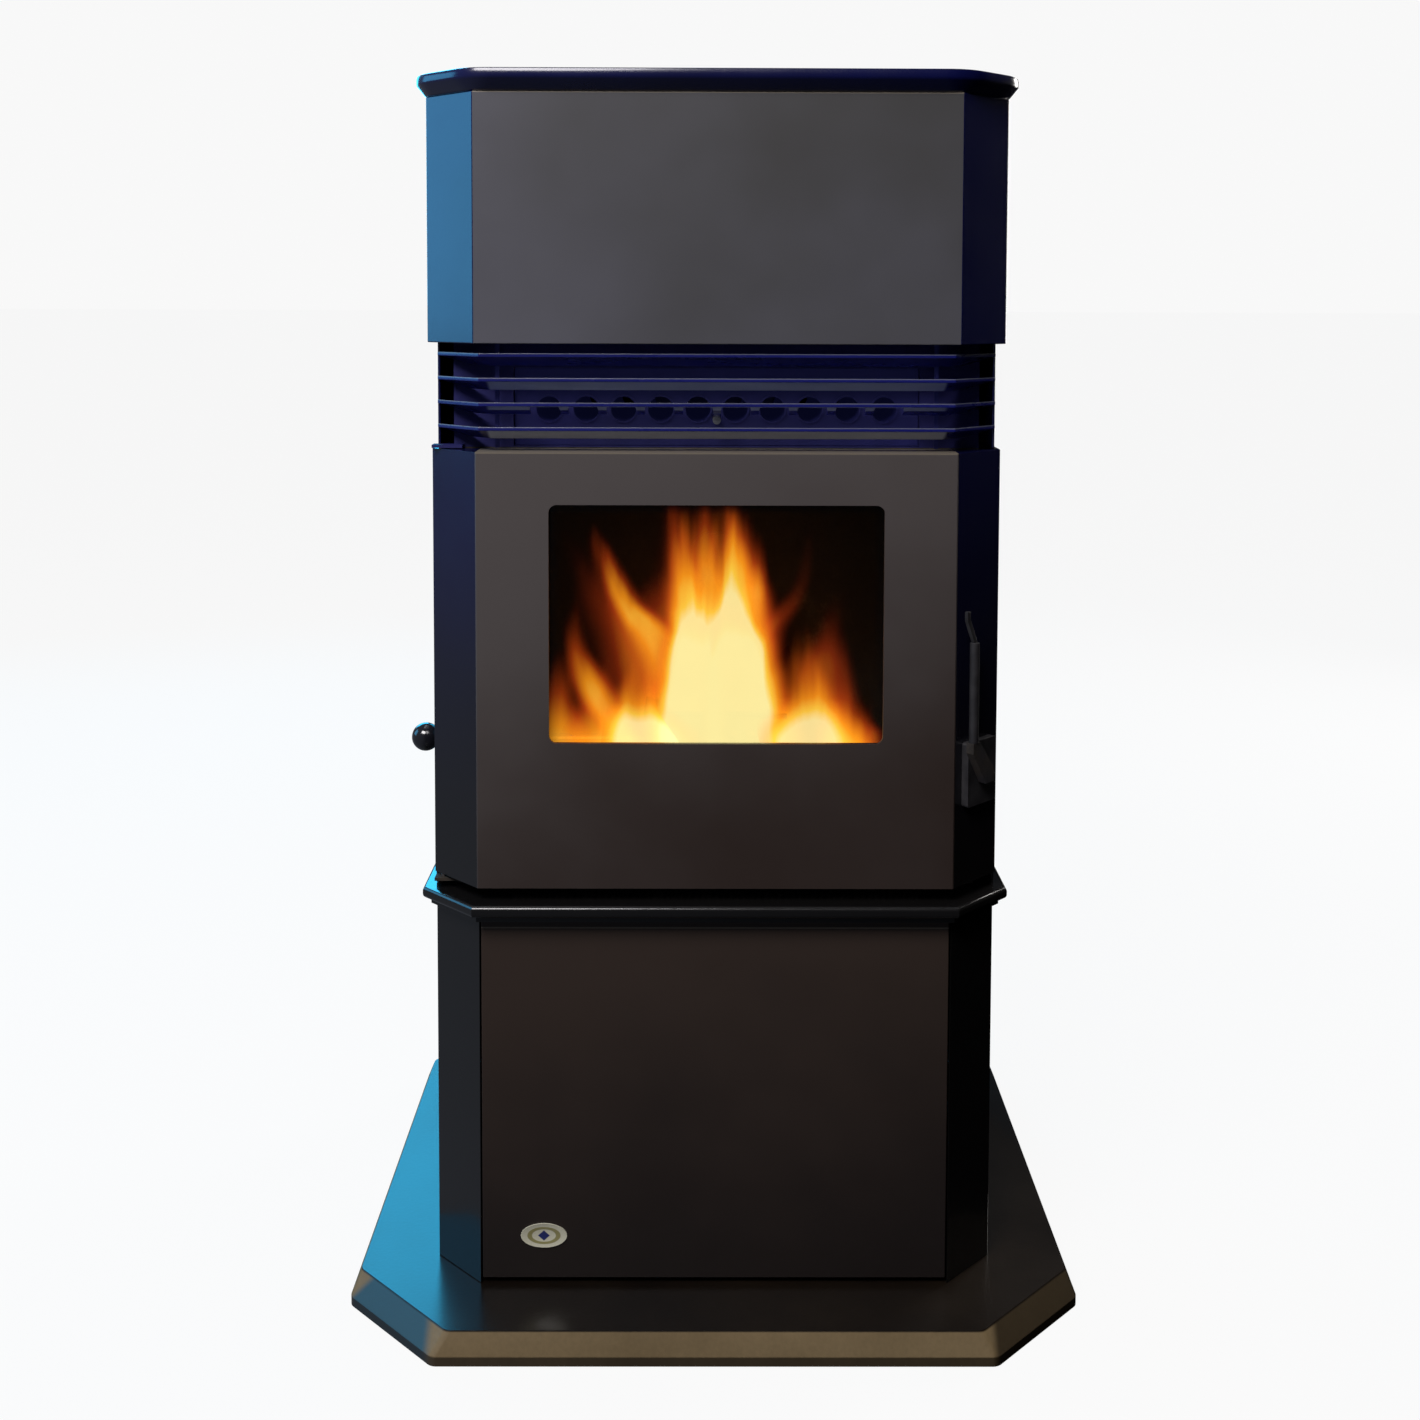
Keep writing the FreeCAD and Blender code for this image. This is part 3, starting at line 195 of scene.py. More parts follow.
def paint(name, dark, light, rough, coat, peel=0.12):
    """Sprayed stove paint: slow tone changes, faint smears in the gloss and a fine orange peel."""
    finish = Finish(name, Coat_Roughness=0.12, IOR=1.5)
    cloud = finish.noise(3.5, 4.0, 0.55)
    smear = finish.noise(17.0, 5.0, 0.6, finish.stretch((1.0, 1.0, 0.35)))
    grain = finish.noise(620.0, 2.0)
    tone = finish.blend(cloud.ramp(0.3, 0.72), dark, light)
    # Painted shade and sheen: the navy enamel is painted near-black towards the foot and blue towards the
    # top.
    if name == "enamel_navy":
        tone = finish.blend(painted_blue_sheen_by_height(finish), NEAR_BLACK, tone)
    finish.feed(Base_Color=tone)
    finish.feed(Roughness=rough + (smear - 0.5) * 0.16 + (grain - 0.5) * 0.05)
    finish.shader.inputs["Coat Weight"].default_value = coat
    return finish.relief(grain + smear * 0.6, peel, 0.0004)


def two_tone(name, flat_dark, flat_light, lift, level, node, drop=0.0):
    """A panel whose flat front is satin charcoal while its cheeks are gloss navy.

    Its flat front carries painted light: it is painted lighter or darker with its height above a level and
    paler to the left, with a painted highlight line along its top edge, or at a drop below it.
    """
    finish = Finish(name, Coat_Roughness=0.1, IOR=1.5)
    x, y, z = finish.axes()
    cloud = finish.noise(2.6, 4.0, 0.55)
    smear = finish.noise(21.0, 5.0, 0.6, finish.stretch((0.6, 1.0, 1.0)))
    grain = finish.noise(700.0, 2.0)
    side = x.size().over(flat_half + 0.0012)
    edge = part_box(node)[1].z - drop
    # Painted highlight: a pale line along the top edge, or at a drop below it.
    painted_edge_highlight = z.ramp(edge - 0.0016, edge - 0.0008) * (1 - z.ramp(edge, edge + 0.0006))
    # Painted light: the flat front is painted lighter or darker with height above the level, by lift, and
    # paler to the left.
    flat = finish.blend((cloud + (z - level) * lift - x * 0.6).ramp(0.1, 0.9), flat_dark, flat_light)
    flat = finish.blend(painted_edge_highlight, flat, (0.20, 0.17, 0.13))
    # The cheeks' navy carries the painted shade towards the foot and the painted blue sheen higher up.
    gloss = finish.blend(painted_blue_sheen_by_height(finish), NEAR_BLACK,
                         finish.blend(cloud.ramp(0.3, 0.7), DEEP_NAVY, NAVY))
    finish.feed(Base_Color=finish.blend(side, flat, gloss))
    finish.feed(Roughness=0.46 - side * 0.22 + (smear - 0.5) * 0.12)
    finish.feed(Coat_Weight=side * 0.6 + 0.02)
    return finish.relief(grain + smear * 0.5, 0.12, 0.0004)


def blade_paint():
    """Gloss navy blades with painted light: pale grey strips on the sloping faces of the first and third, a
    fainter band below the second's lip, and a painted highlight along each lip.
    """
    finish = Finish("blade_navy", Coat_Roughness=0.12, IOR=1.5)
    x, y, z = finish.axes()
    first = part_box("louvre_blade_1")
    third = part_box("louvre_blade_3")
    lip = 0.0035
    tops = [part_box(f"louvre_blade_{number}")[1].z for number in (1, 2, 3, 4)]
    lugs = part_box("louvre_blade_2")[1].z
    spans = ((first[0].z, first[1].z), (third[0].z, third[1].z), (lugs - lip - 0.004, lugs))
    bands = [z.ramp(low - 0.0005, low) * (1 - z.ramp(high - lip - 0.0005, high - lip)) for low, high in spans]
    face = (bands[0] + bands[1] + bands[2] * 0.7) * (1 - x.size().ramp(flat_half - 0.012, flat_half - 0.008))
    smear = finish.noise(60.0, 4.0, 0.6, finish.stretch((0.2, 1.0, 1.0)))
    navy = finish.blend(smear, (0.006, 0.008, 0.11), (0.012, 0.016, 0.20))
    # Painted highlight along the top of each blade's lip.
    painted_lip_highlight = sum(z.ramp(top - 0.0012, top - 0.0006) * (1 - z.ramp(top + 0.001, top + 0.002)) for top in tops)
    navy = finish.blend(painted_lip_highlight * 0.8, navy, (0.16, 0.17, 0.23))
    # Painted light: pale grey strips on the sloping faces.
    painted_strip_light = finish.blend(smear, (0.42, 0.46, 0.58), (0.62, 0.66, 0.80))
    finish.feed(Base_Color=finish.blend(face, navy, painted_strip_light))
    finish.feed(Roughness=0.28 + face * 0.25 + (smear - 0.5) * 0.12, Coat_Weight=0.4 - face * 0.35)
    return finish


def hearth_paint():
    """Satin brown-black paint with a little dust; its bevel carries a painted bronze reflection, with painted
    shade low down and at the right end and a painted steel-blue reflection at the front left corner.
    """
    finish = Finish("hearth_paint", Coat_Roughness=0.2, IOR=1.5)
    x, y, z = finish.axes()
    cloud = finish.noise(5.0, 5.0, 0.6)
    speck = finish.noise(240.0, 3.0)
    base_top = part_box("hearth_plate")[1].z
    # Painted shade: the bevel's colour is painted darker on its low band and at its right end.
    bevel = (1 - z.ramp(base_top - 0.002, base_top - 0.0004)) * (0.25 + 0.75 * z.ramp(0.008, 0.010))
    bevel = bevel * (1 - x.ramp(0.262, 0.272) * 0.8)
    # Painted reflection: steel-blue at the bevel's front left corner.
    painted_blue_corner = (1 - x.ramp(-0.280, -0.268)) * (1 - y.ramp(-0.200, -0.192))
    top = finish.blend(cloud.ramp(0.3, 0.75), (0.006, 0.004, 0.003), (0.014, 0.009, 0.005))
    # Painted reflection: the bevel's bronze stands for warm light reflected from the front, mottled.
    bevel_reflection_mottle = (cloud * 0.8 + speck * 0.2).ramp(0.2, 0.8)
    edge = finish.blend(bevel_reflection_mottle, (0.170, 0.120, 0.058), (0.300, 0.215, 0.108))
    edge = finish.blend(painted_blue_corner, edge, (0.035, 0.095, 0.130))
    finish.feed(Base_Color=finish.blend(bevel, top, edge))
    finish.feed(Roughness=0.34 + (cloud - 0.5) * 0.2 + bevel * 0.12)
    finish.feed(Coat_Weight=0.5 - bevel * 0.4)
    return finish.relief(speck + cloud * 0.4, 0.16, 0.0005)


def metal(name, dark, light, rough, brushed=(1.0, 1.0, 1.0), grime=(0.12, 0.10, 0.08)):
    """Bare sheet or bar: brushed streaks, dull patches and patches of dark grime."""
    finish = Finish(name, Metallic=1.0)
    streak = finish.noise(160.0, 4.0, 0.6, finish.stretch(brushed))
    patch = finish.noise(9.0, 5.0, 0.6)
    colour = finish.blend(streak.ramp(0.3, 0.7), dark, light)
    finish.feed(Base_Color=finish.blend(patch.ramp(0.62, 0.85) * 0.7, colour, grime))
    finish.feed(Roughness=rough + (patch - 0.5) * 0.3 + (streak - 0.5) * 0.15)
    return finish.relief(streak, 0.1, 0.0003)


def burnt_steel(name="burnt_steel", painted_above=None, clean=1.0):
    """Steel that has been hot: blued and straw-coloured patches under soot, navy where it is painted."""
    finish = Finish(name)
    patch = finish.noise(8.0, 5.0, 0.6)
    soot = finish.noise(30.0, 6.0, 0.65)
    tempers = [(0.2, (0.05, 0.05, 0.055)), (0.45, (0.10, 0.08, 0.06)), (0.6, (0.045, 0.05, 0.075)),
               (0.8, (0.09, 0.075, 0.06))]
    heat = finish.add("ShaderNodeValToRGB", {"stops": tempers}, {"Fac": patch})
    tone = finish.blend(1 - (1 - soot.ramp(0.4, 0.7)) * clean, heat, (0.012, 0.011, 0.010))
    bare = 1 - soot.ramp(0.4, 0.7) * 0.8
    if painted_above:
        x, y, z = finish.axes()
        navy = z.over(painted_above + 0.001)
        tone = finish.blend(navy, tone, (0.006, 0.006, 0.100))
        bare = bare * (1 - navy)
    finish.feed(Base_Color=tone)
    finish.feed(Roughness=0.55 + soot * 0.35, Metallic=bare * 0.75 * clean)
    return finish.relief(soot, 0.25, 0.0008)


def cast(name):
    """Sand-cast iron: fine pits and a sooty tone."""
    finish = Finish(name)
    pits = finish.add("ShaderNodeTexVoronoi", None, {"Vector": finish.place, "Scale": 420.0})
    cloud = finish.noise(20.0, 5.0, 0.6)
    finish.feed(Base_Color=finish.blend(cloud.ramp(0.3, 0.7), (0.022, 0.020, 0.019), (0.065, 0.058, 0.052)))
    finish.feed(Roughness=0.72 + (cloud - 0.5) * 0.3, Metallic=0.3 + cloud * 0.2)
    return finish.relief(pits + cloud, 0.4, 0.0008)


def brick():
    """Pale pressed firebrick: pores, small chips and soot in broad patches that cover nearly all of it."""
    finish = Finish("firebrick", Specular_IOR_Level=0.2)
    x, y, z = finish.axes()
    grit = finish.noise(260.0, 5.0, 0.7)
    cloud = finish.noise(7.0, 6.0, 0.65)
    soot = (cloud * 0.7 + grit * 0.2 + 0.25).ramp(0.2, 0.62)
    clay = finish.blend(grit.ramp(0.35, 0.65), (0.28, 0.21, 0.15), (0.46, 0.37, 0.27))
    finish.feed(Base_Color=finish.blend(soot * 0.985, clay, (0.006, 0.005, 0.004)))
    finish.feed(Roughness=0.9 - soot * 0.1)
    return finish.relief(grit + cloud * 0.5, 0.6, 0.0012)


def window_glass():
    """Ceramic glass with a faint smoke film that thickens at its edges."""
    finish = Finish("window_glass", Roughness=0.03, IOR=1.47)
    x, y, z = finish.axes()
    film = finish.noise(12.0, 4.0, 0.6)
    rim = x.size().ramp(0.150, 0.172) * 0.5 + z.ramp(window_high - 0.012, window_high + 0.004) * 0.6
    finish.feed(Base_Color=finish.blend(film.ramp(0.3, 0.7), (0.002, 0.002, 0.002), (0.006, 0.005, 0.004)))
    finish.feed(Alpha=0.06 + film * 0.05 + rim, Roughness=0.04 + film * 0.04)
    return finish


def braid():
    """Plaited glass-fibre rope, soiled in patches."""
    finish = Finish("rope_braid", Specular_IOR_Level=0.2)
    cross = finish.add("ShaderNodeTexWave", {"bands_direction": "DIAGONAL"},
                       {"Vector": finish.place, "Scale": 90.0, "Distortion": 1.5, "Detail": 2.0})
    dirt = finish.noise(30.0, 4.0, 0.6)
    wool = finish.blend(cross, (0.16, 0.15, 0.14), (0.42, 0.40, 0.37))
    finish.feed(Base_Color=finish.blend(dirt.ramp(0.45, 0.75), wool, (0.06, 0.055, 0.05)))
    finish.feed(Roughness=0.9 - dirt * 0.1)
    return finish.relief(cross, 0.8, 0.0015)


def plastic(name, dark, light, rough, coat):
    """Moulded plastic with a faint flow pattern and finger marks in the gloss."""
    finish = Finish(name, Coat_Roughness=0.06)
    flow = finish.noise(40.0, 3.0)
    marks = finish.noise(130.0, 4.0, 0.6)
    finish.feed(Base_Color=finish.blend(flow.ramp(0.3, 0.7), dark, light))
    finish.feed(Roughness=rough + (marks - 0.5) * 0.12)
    finish.shader.inputs["Coat Weight"].default_value = coat
    return finish.relief(marks, 0.06, 0.0003)


FINISHES = {
    "enamel_blue": paint("enamel_navy", DEEP_NAVY, NAVY, 0.24, 0.6),
    "panel_black": paint("panel_charcoal", WARM_BLACK, (0.030, 0.023, 0.020), 0.5, 0.02),
    "cast_base": hearth_paint(),
    "bare_steel": metal("sheet_steel", (0.34, 0.34, 0.35), (0.52, 0.52, 0.53), 0.36, (1.0, 1.0, 8.0)),
    "heat_steel": burnt_steel(),
    "cast_iron": cast("pot_iron"),
    "firebrick": brick(),
    "glass": window_glass(),
    "rope": braid(),
    "black_plastic": plastic("knob_black", (0.006, 0.006, 0.009), (0.012, 0.012, 0.017), 0.16, 0.8),
    "grip_black": plastic("grip_grey", (0.020, 0.019, 0.021), (0.042, 0.040, 0.043), 0.42, 0.15),
    "badge_enamel": plastic("badge_cream", (0.52, 0.50, 0.42), (0.66, 0.63, 0.52), 0.3, 0.5),
    "zinc": metal("zinc_plate", (0.46, 0.47, 0.49), (0.62, 0.63, 0.66), 0.32),
}
# The flat fronts carry painted light by height (lift above level) and paler to the left, with a painted
# highlight line at the top edge; on the drawer that line sits 8.5 mm below its top.
DOOR_PAINT = two_tone("door_two_tone", (0.034, 0.0215, 0.017), (0.094, 0.081, 0.078), 1.2, window_low,
                      "door_shell")
DRAWER_PAINT = two_tone("drawer_two_tone", (0.013, 0.009, 0.008), (0.044, 0.029, 0.022), 2.5, 0.20,
                        "drawer_front", 0.0085)
CASING_PAINT = two_tone("casing_two_tone", (0.052, 0.050, 0.048), (0.112, 0.112, 0.138), -0.8, 1.08,
                        "upper_casing")
VENT_PAINT = paint("vent_navy", (0.004, 0.004, 0.070), (0.007, 0.007, 0.130), 0.7, 0.0)
# Painted glow: the vent paint glows faintly navy of its own, so that it reads navy in shade.
VENT_PAINT.shader.inputs["Emission Color"].default_value = (0.10, 0.12, 0.60, 1)
VENT_PAINT.shader.inputs["Emission Strength"].default_value = 0.014
FIREBOX_PAINT = burnt_steel("firebox_steel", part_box("door_shell")[1].z)
SOOTED = burnt_steel("sooted_steel", 0.0, 0.12)
BLADE_PALE = blade_paint()


def finish_for(name):
    if name in ("tube_plate", "heat_tubes", "louvre_posts"):
        return VENT_PAINT
    if name.startswith("louvre_blade"):
        return BLADE_PALE
    if name == "door_shell":
        return DOOR_PAINT
    if name == "drawer_front":
        return DRAWER_PAINT
    if name == "firebox_shell":
        return FIREBOX_PAINT
    if name in ("feed_tube", "auger_screw"):
        return SOOTED
    if name == "upper_casing":
        return CASING_PAINT
    return FINISHES[slots[name]]


def dress(piece, finish):
    piece.data.materials.clear()
    piece.data.materials.append(finish.material)
    return piece


for node_name, node_object in nodes.items():
    dress(node_object, finish_for(node_name))


# ---------------------------------------------------------------- modelling helpers

def only(piece):
    """Select one piece and nothing else."""
    bpy.ops.object.select_all(action="DESELECT")
    piece.select_set(True)
    bpy.context.view_layer.objects.active = piece


def edit(action):
    """Run one action on all of the active piece, in edit mode."""
    bpy.ops.object.mode_set(mode="EDIT")
    bpy.ops.mesh.select_all(action="SELECT")
    action()
    bpy.ops.object.mode_set(mode="OBJECT")


def apply(piece, kind, **settings):
    only(piece)
    modifier = piece.modifiers.new(kind.lower(), kind)
    for key, value in settings.items():
        setattr(modifier, key, value)
    bpy.ops.object.modifier_apply(modifier=modifier.name)


def settle(piece, body, slot, finish, *replaced):
    """Give a finished piece its body and its finish, and hide what it stands for."""
    dress(piece, finish)
    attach(piece, body)
    if replaced:
        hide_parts(*replaced)
    return piece


def skin(name, width=0.0008):
    """A copy of a CAD piece with its loose triangles merged and its edges softly rounded."""
    piece = bpy.data.objects.new(name + "_skin", nodes[name].data.copy())
    scene.collection.objects.link(piece)
    only(piece)
    edit(lambda: bpy.ops.mesh.remove_doubles(threshold=0.00002))
    edit(lambda: bpy.ops.mesh.dissolve_limited(angle_limit=math.radians(1.0)))
    apply(piece, "BEVEL", width=width, segments=2, limit_method="ANGLE", angle_limit=math.radians(28))
    only(piece)
    bpy.ops.object.shade_smooth_by_angle(angle=math.radians(32))
    apply(piece, "WEIGHTED_NORMAL", keep_sharp=True)
    return settle(piece, bodies[name], slots[name], finish_for(name), name)


def turned(name, radius, length, centre, direction, steps=40):
    """A cylinder at its size and place, lying along a direction."""
    bpy.ops.object.select_all(action="DESELECT")
    bpy.ops.mesh.primitive_cylinder_add(vertices=steps, radius=radius, depth=length)
    piece = bpy.context.active_object
    piece.name = name
    turn = Vector(direction).to_track_quat("Z", "Y").to_matrix().to_4x4()
    piece.data.transform(Matrix.Translation(centre) @ turn)
    return piece


def ball(name, radius, centre):
    bpy.ops.object.select_all(action="DESELECT")
    bpy.ops.mesh.primitive_uv_sphere_add(segments=48, ring_count=32, radius=radius)
    piece = bpy.context.active_object
    piece.name = name
    piece.data.transform(Matrix.Translation(centre))
    bpy.ops.object.shade_smooth()
    return piece


def chamfered(piece, width, segments=3, angle=30):
    """Round a piece's sharp edges and smooth its faces."""
    apply(piece, "BEVEL", width=width, segments=segments, limit_method="ANGLE",
          angle_limit=math.radians(angle))
    only(piece)
    bpy.ops.object.shade_smooth_by_angle(angle=math.radians(40))
    return piece


def joined(name, pieces):
    """Join pieces into one mesh."""
    bpy.ops.object.select_all(action="DESELECT")
    for piece in pieces:
        piece.select_set(True)
    bpy.context.view_layer.objects.active = pieces[0]
    bpy.ops.object.join()
    pieces[0].name = name
    return pieces[0]


def rounded_plan(grow, radius, steps=6):
    """The body's outline from above, grown all round, with its corners rounded."""
    low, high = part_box("top_rim")
    wide = high.x + grow
    slant = grow * (math.sqrt(2) - 1)
    half_face = high.x - RIM_CHEEK + slant
    heel = low.y + RIM_CHEEK - slant
    corners = [(-wide, high.y + grow), (-wide, heel), (-half_face, low.y - grow),
               (half_face, low.y - grow), (wide, heel), (wide, high.y + grow)]
    points = []
    for i, corner in enumerate(corners):
        corner = Vector(corner)
        before = corner + (Vector(corners[i - 1]) - corner).normalized() * radius
        after = corner + (Vector(corners[(i + 1) % 6]) - corner).normalized() * radius
        for step in range(steps + 1):
            t = step / steps
            points.append(before * (1 - t) ** 2 + corner * 2 * t * (1 - t) + after * t ** 2)
    return points


RIM_CHEEK = cheek + 0.0155 * 0.586


def sweep_rim():
    """The top rim: a flared, rolled band whose corners are rounded in plan."""
    low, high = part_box("top_rim")
    shelf = high.z - 0.009
    flare = 0.0115
    section = [(-0.0235, low.z), (-flare, low.z), (-flare * 0.75, low.z + 0.002), (-0.0015, shelf - 0.0015),
               (-0.0003, shelf - 0.0003), (0.0, shelf + 0.0015), (0.0, high.z - 0.0035),
               (-0.0010, high.z - 0.0010),
               (-0.0035, high.z), (-0.0215, high.z), (-0.0235, high.z - 0.002), (-0.0235, low.z)]
    around = len(rounded_plan(0, 0.02))
    bpy.ops.object.select_all(action="DESELECT")
    bpy.ops.mesh.primitive_grid_add(x_subdivisions=around, y_subdivisions=len(section) - 1, size=1)
    piece = bpy.context.active_object
    piece.name = "top_rim_rolled"
    loops = [rounded_plan(grow, 0.024 + grow) for grow, level in section]
    for vertex in piece.data.vertices:
        i = round((vertex.co.x + 0.5) * around) % around
        j = round((vertex.co.y + 0.5) * (len(section) - 1))
        vertex.co = (*loops[j][i], section[j][1])
    only(piece)
    edit(lambda: bpy.ops.mesh.remove_doubles(threshold=0.00002))
    edit(lambda: bpy.ops.mesh.normals_make_consistent(inside=False))
    bpy.ops.object.shade_smooth_by_angle(angle=math.radians(40))
    settle(piece, "stove", slots["top_rim"], finish_for("top_rim"), "top_rim")


# ---------------------------------------------------------------- casing with softened edges

for plain in ("hearth_plate", "upper_casing", "door_shell", "drawer_front", "pedestal_shell"):
    skin(plain, 0.0010)
sweep_rim()
for plain in ("ledge_plate", "side_panel_left", "side_panel_right", "top_plate", "hopper_lid",
              "rear_cover", "pedestal_back", "latch_block", "burn_pot", "louvre_sides"):
    skin(plain, 0.0007)
for number in (1, 2, 3, 4):
    skin(f"louvre_blade_{number}", 0.0004)
for plain in ("latch_handle", "latch_shaft", "heat_knob", "power_button"):
    skin(plain, 0.0010)


# ---------------------------------------------------------------- small fittings

def pull_knob():
    """The grate's round pull: a polished ball with a neck that grips the rod."""
    low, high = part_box("grate_knob")
    radius = (high.z - low.z) / 2
    centre = Vector((low.x + radius, (low.y + high.y) / 2, (low.z + high.z) / 2))
    head = ball("pull_ball", radius, centre)
    neck_end = high.x
    neck_start = centre.x + radius * 0.8
    neck = chamfered(turned("pull_neck", 0.007, neck_end - neck_start,
                            ((neck_start + neck_end) / 2, centre.y, centre.z), (1, 0, 0)), 0.0012)
    settle(joined("pull_knob", [head, neck]), "grate", "black_plastic", FINISHES["black_plastic"],
           "grate_knob")


def badge_finish():
    """Cream enamel with an olive oval band and a plain navy lozenge at its middle."""
    low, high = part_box("badge")
    finish = Finish("badge_oval", Coat_Weight=0.5, Coat_Roughness=0.1)
    x, y, z = finish.axes()
    across = (x - (low.x + high.x) / 2) * (2 / (high.x - low.x))
    up = (z - (low.z + high.z) / 2) * (2 / (high.z - low.z))
    reach = (across * across + up * up) ** 0.5
    speck = finish.noise(900.0, 3.0)
    band = reach.ramp(0.50, 0.53) * (1 - reach.ramp(0.70, 0.73))
    lozenge = 1 - (across.size() * 1.7 + up.size()).ramp(0.40, 0.46)
    cream = finish.blend(speck, (0.62, 0.60, 0.44), (0.80, 0.78, 0.62))
    ringed = finish.blend(band * 0.85, cream, (0.26, 0.23, 0.05))
    finish.feed(Base_Color=finish.blend(lozenge, ringed, (0.02, 0.03, 0.16)))
    finish.feed(Roughness=0.3 + speck * 0.15)
    return finish.relief(band + lozenge, 0.3, 0.0004)


def badge():
    """A pressed oval plate with a raised rim."""
    low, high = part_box("badge")
    wide, tall, thick = high.x - low.x, high.z - low.z, high.y - low.y
    plate = turned("badge_plate", 0.5, 1.0, (0, 0, 0), (0, -1, 0), 64)
    only(plate)
    bpy.ops.object.mode_set(mode="EDIT")
    bpy.ops.mesh.select_all(action="DESELECT")
    bpy.ops.object.mode_set(mode="OBJECT")
    for face in plate.data.polygons:
        face.select = face.normal.y < -0.9
    bpy.ops.object.mode_set(mode="EDIT")
    bpy.ops.mesh.select_mode(type="FACE")
    bpy.ops.mesh.inset(thickness=0.035)
    bpy.ops.transform.translate(value=(0, 0.30, 0))
    bpy.ops.object.mode_set(mode="OBJECT")
    plate.data.transform(Matrix.Translation((low + high) / 2) @ Matrix.Diagonal((wide, thick, tall, 1)))
    chamfered(plate, 0.0003)
    settle(plate, "drawer", "badge_enamel", badge_finish(), "badge")


def vent_gauze():
    """Black woven gauze behind the rear cover's air slots."""
    low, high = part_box("rear_cover")
    floor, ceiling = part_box("door_shell")[1].z + 0.002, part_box("louvre_sides")[1].z - 0.030
    bpy.ops.object.select_all(action="DESELECT")
    bpy.ops.mesh.primitive_cube_add(size=1)
    sheet = bpy.context.active_object
    sheet.name = "vent_gauze"
    sheet.data.transform(Matrix.Translation((0, high.y - 0.0046, (floor + ceiling) / 2))
                         @ Matrix.Diagonal((high.x - low.x - 0.06, 0.0008, ceiling - floor, 1)))
    chamfered(sheet, 0.0002, 2)
    settle(sheet, "stove", "heat_steel", SOOTED)


def screws():
    """Hexagon heads on washers, modelled once and copied to each place."""
    low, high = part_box("cover_screws")
    radius, thick = 0.0045, high.y - low.y
    washer = turned("washer", radius, thick * 0.3, (0, -thick * 0.35, 0), (0, 1, 0), 32)
    head = turned("head", radius * 0.8, thick * 0.7, (0, thick * 0.15, 0), (0, 1, 0), 6)
    first = chamfered(joined("cover_screw", [washer, head]), 0.0003)
    across = (low.x + radius, high.x - radius)
    rows = [low.z + radius + step * (high.z - low.z - 2 * radius) / 3 for step in range(4)]
    copies = []
    for x in across:
        for z in rows:
            copy = first.copy()
            copy.data = first.data.copy()
            scene.collection.objects.link(copy)
            copy.data.transform(Matrix.Translation((x, (low.y + high.y) / 2, z)))
            copies.append(copy)
    bpy.data.objects.remove(first)
    settle(joined("cover_screw_set", copies), "stove", "zinc", FINISHES["zinc"], "cover_screws")


def dial():
    """Raised marks round the heat knob, and a plain ring on the power button."""
    low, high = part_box("heat_knob")
    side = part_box("side_panel_right")[1].x
    centre = Vector((side, (low.y + high.y) / 2, (low.z + high.z) / 2))
    marks = []
    for step in range(10):
        turn = math.radians(-135 + step * 30)
        bpy.ops.object.select_all(action="DESELECT")
        bpy.ops.mesh.primitive_cube_add(size=1)
        mark = bpy.context.active_object
        mark.data.transform(Matrix.Translation(centre) @ Matrix.Rotation(turn, 4, "X")
                            @ Matrix.Translation((0.00015, 0, 0.0245))
                            @ Matrix.Diagonal((0.0003, 0.0012, 0.003 + 0.0004 * step, 1)))
        marks.append(mark)
    scale = chamfered(joined("dial_marks", marks), 0.0001, 2)
    settle(scale, "stove", "badge_enamel", FINISHES["badge_enamel"])
    low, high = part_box("power_button")
    bpy.ops.object.select_all(action="DESELECT")
    bpy.ops.mesh.primitive_torus_add(major_radius=0.0042, minor_radius=0.0005, major_segments=40,
                                     minor_segments=8)
    ring = bpy.context.active_object
    ring.name = "button_ring"
    ring.data.transform(Matrix.Translation((high.x, (low.y + high.y) / 2, (low.z + high.z) / 2))
                        @ Matrix.Rotation(math.radians(90), 4, "Y"))
    settle(ring, "power_button", "badge_enamel", FINISHES["badge_enamel"])


def heap(name, low, high, height, finish, cuts=40, seed=1):
    """A lumpy layer between two corners of a rectangle."""
    bpy.ops.object.select_all(action="DESELECT")
    bpy.ops.mesh.primitive_grid_add(x_subdivisions=cuts, y_subdivisions=cuts, size=1)
    piece = bpy.context.active_object
    piece.name = name
    wave = random.Random(seed)
    lumps = [(wave.uniform(-0.4, 0.4), wave.uniform(-0.4, 0.4), wave.uniform(0.08, 0.25)) for i in range(14)]
    for vertex in piece.data.vertices:
        rise = sum(math.exp(-((vertex.co.x - x) ** 2 + (vertex.co.y - y) ** 2) / r ** 2) for x, y, r in lumps)
        rise *= height / 4
        vertex.co = Vector((low.x + (vertex.co.x + 0.5) * (high.x - low.x),
                            low.y + (vertex.co.y + 0.5) * (high.y - low.y), low.z + min(rise, height)))
    bpy.ops.object.shade_smooth()
    return settle(piece, "drawer" if name == "ash" else "stove", None, finish)


def pellets(name, low, high, count, finish, seed):
    """Short pressed-wood pellets strewn over a rectangle."""
    first = chamfered(turned("pellet", 0.003, 0.016, (0, 0, 0), (1, 0, 0), 12), 0.0005, 1)
    deal = random.Random(seed)
    copies = []
    for i in range(count):
        copy = first.copy()
        copy.data = first.data.copy()
        scene.collection.objects.link(copy)
        place = Vector([deal.uniform(low[axis], high[axis]) for axis in range(3)])
        copy.data.transform(Matrix.Translation(place) @ Matrix.Rotation(deal.uniform(0, 3.1), 4, "Z")
                            @ Matrix.Rotation(deal.uniform(-0.35, 0.35), 4, "Y"))
        copies.append(copy)
    bpy.data.objects.remove(first)
    return settle(joined(name, copies), "stove", None, finish)


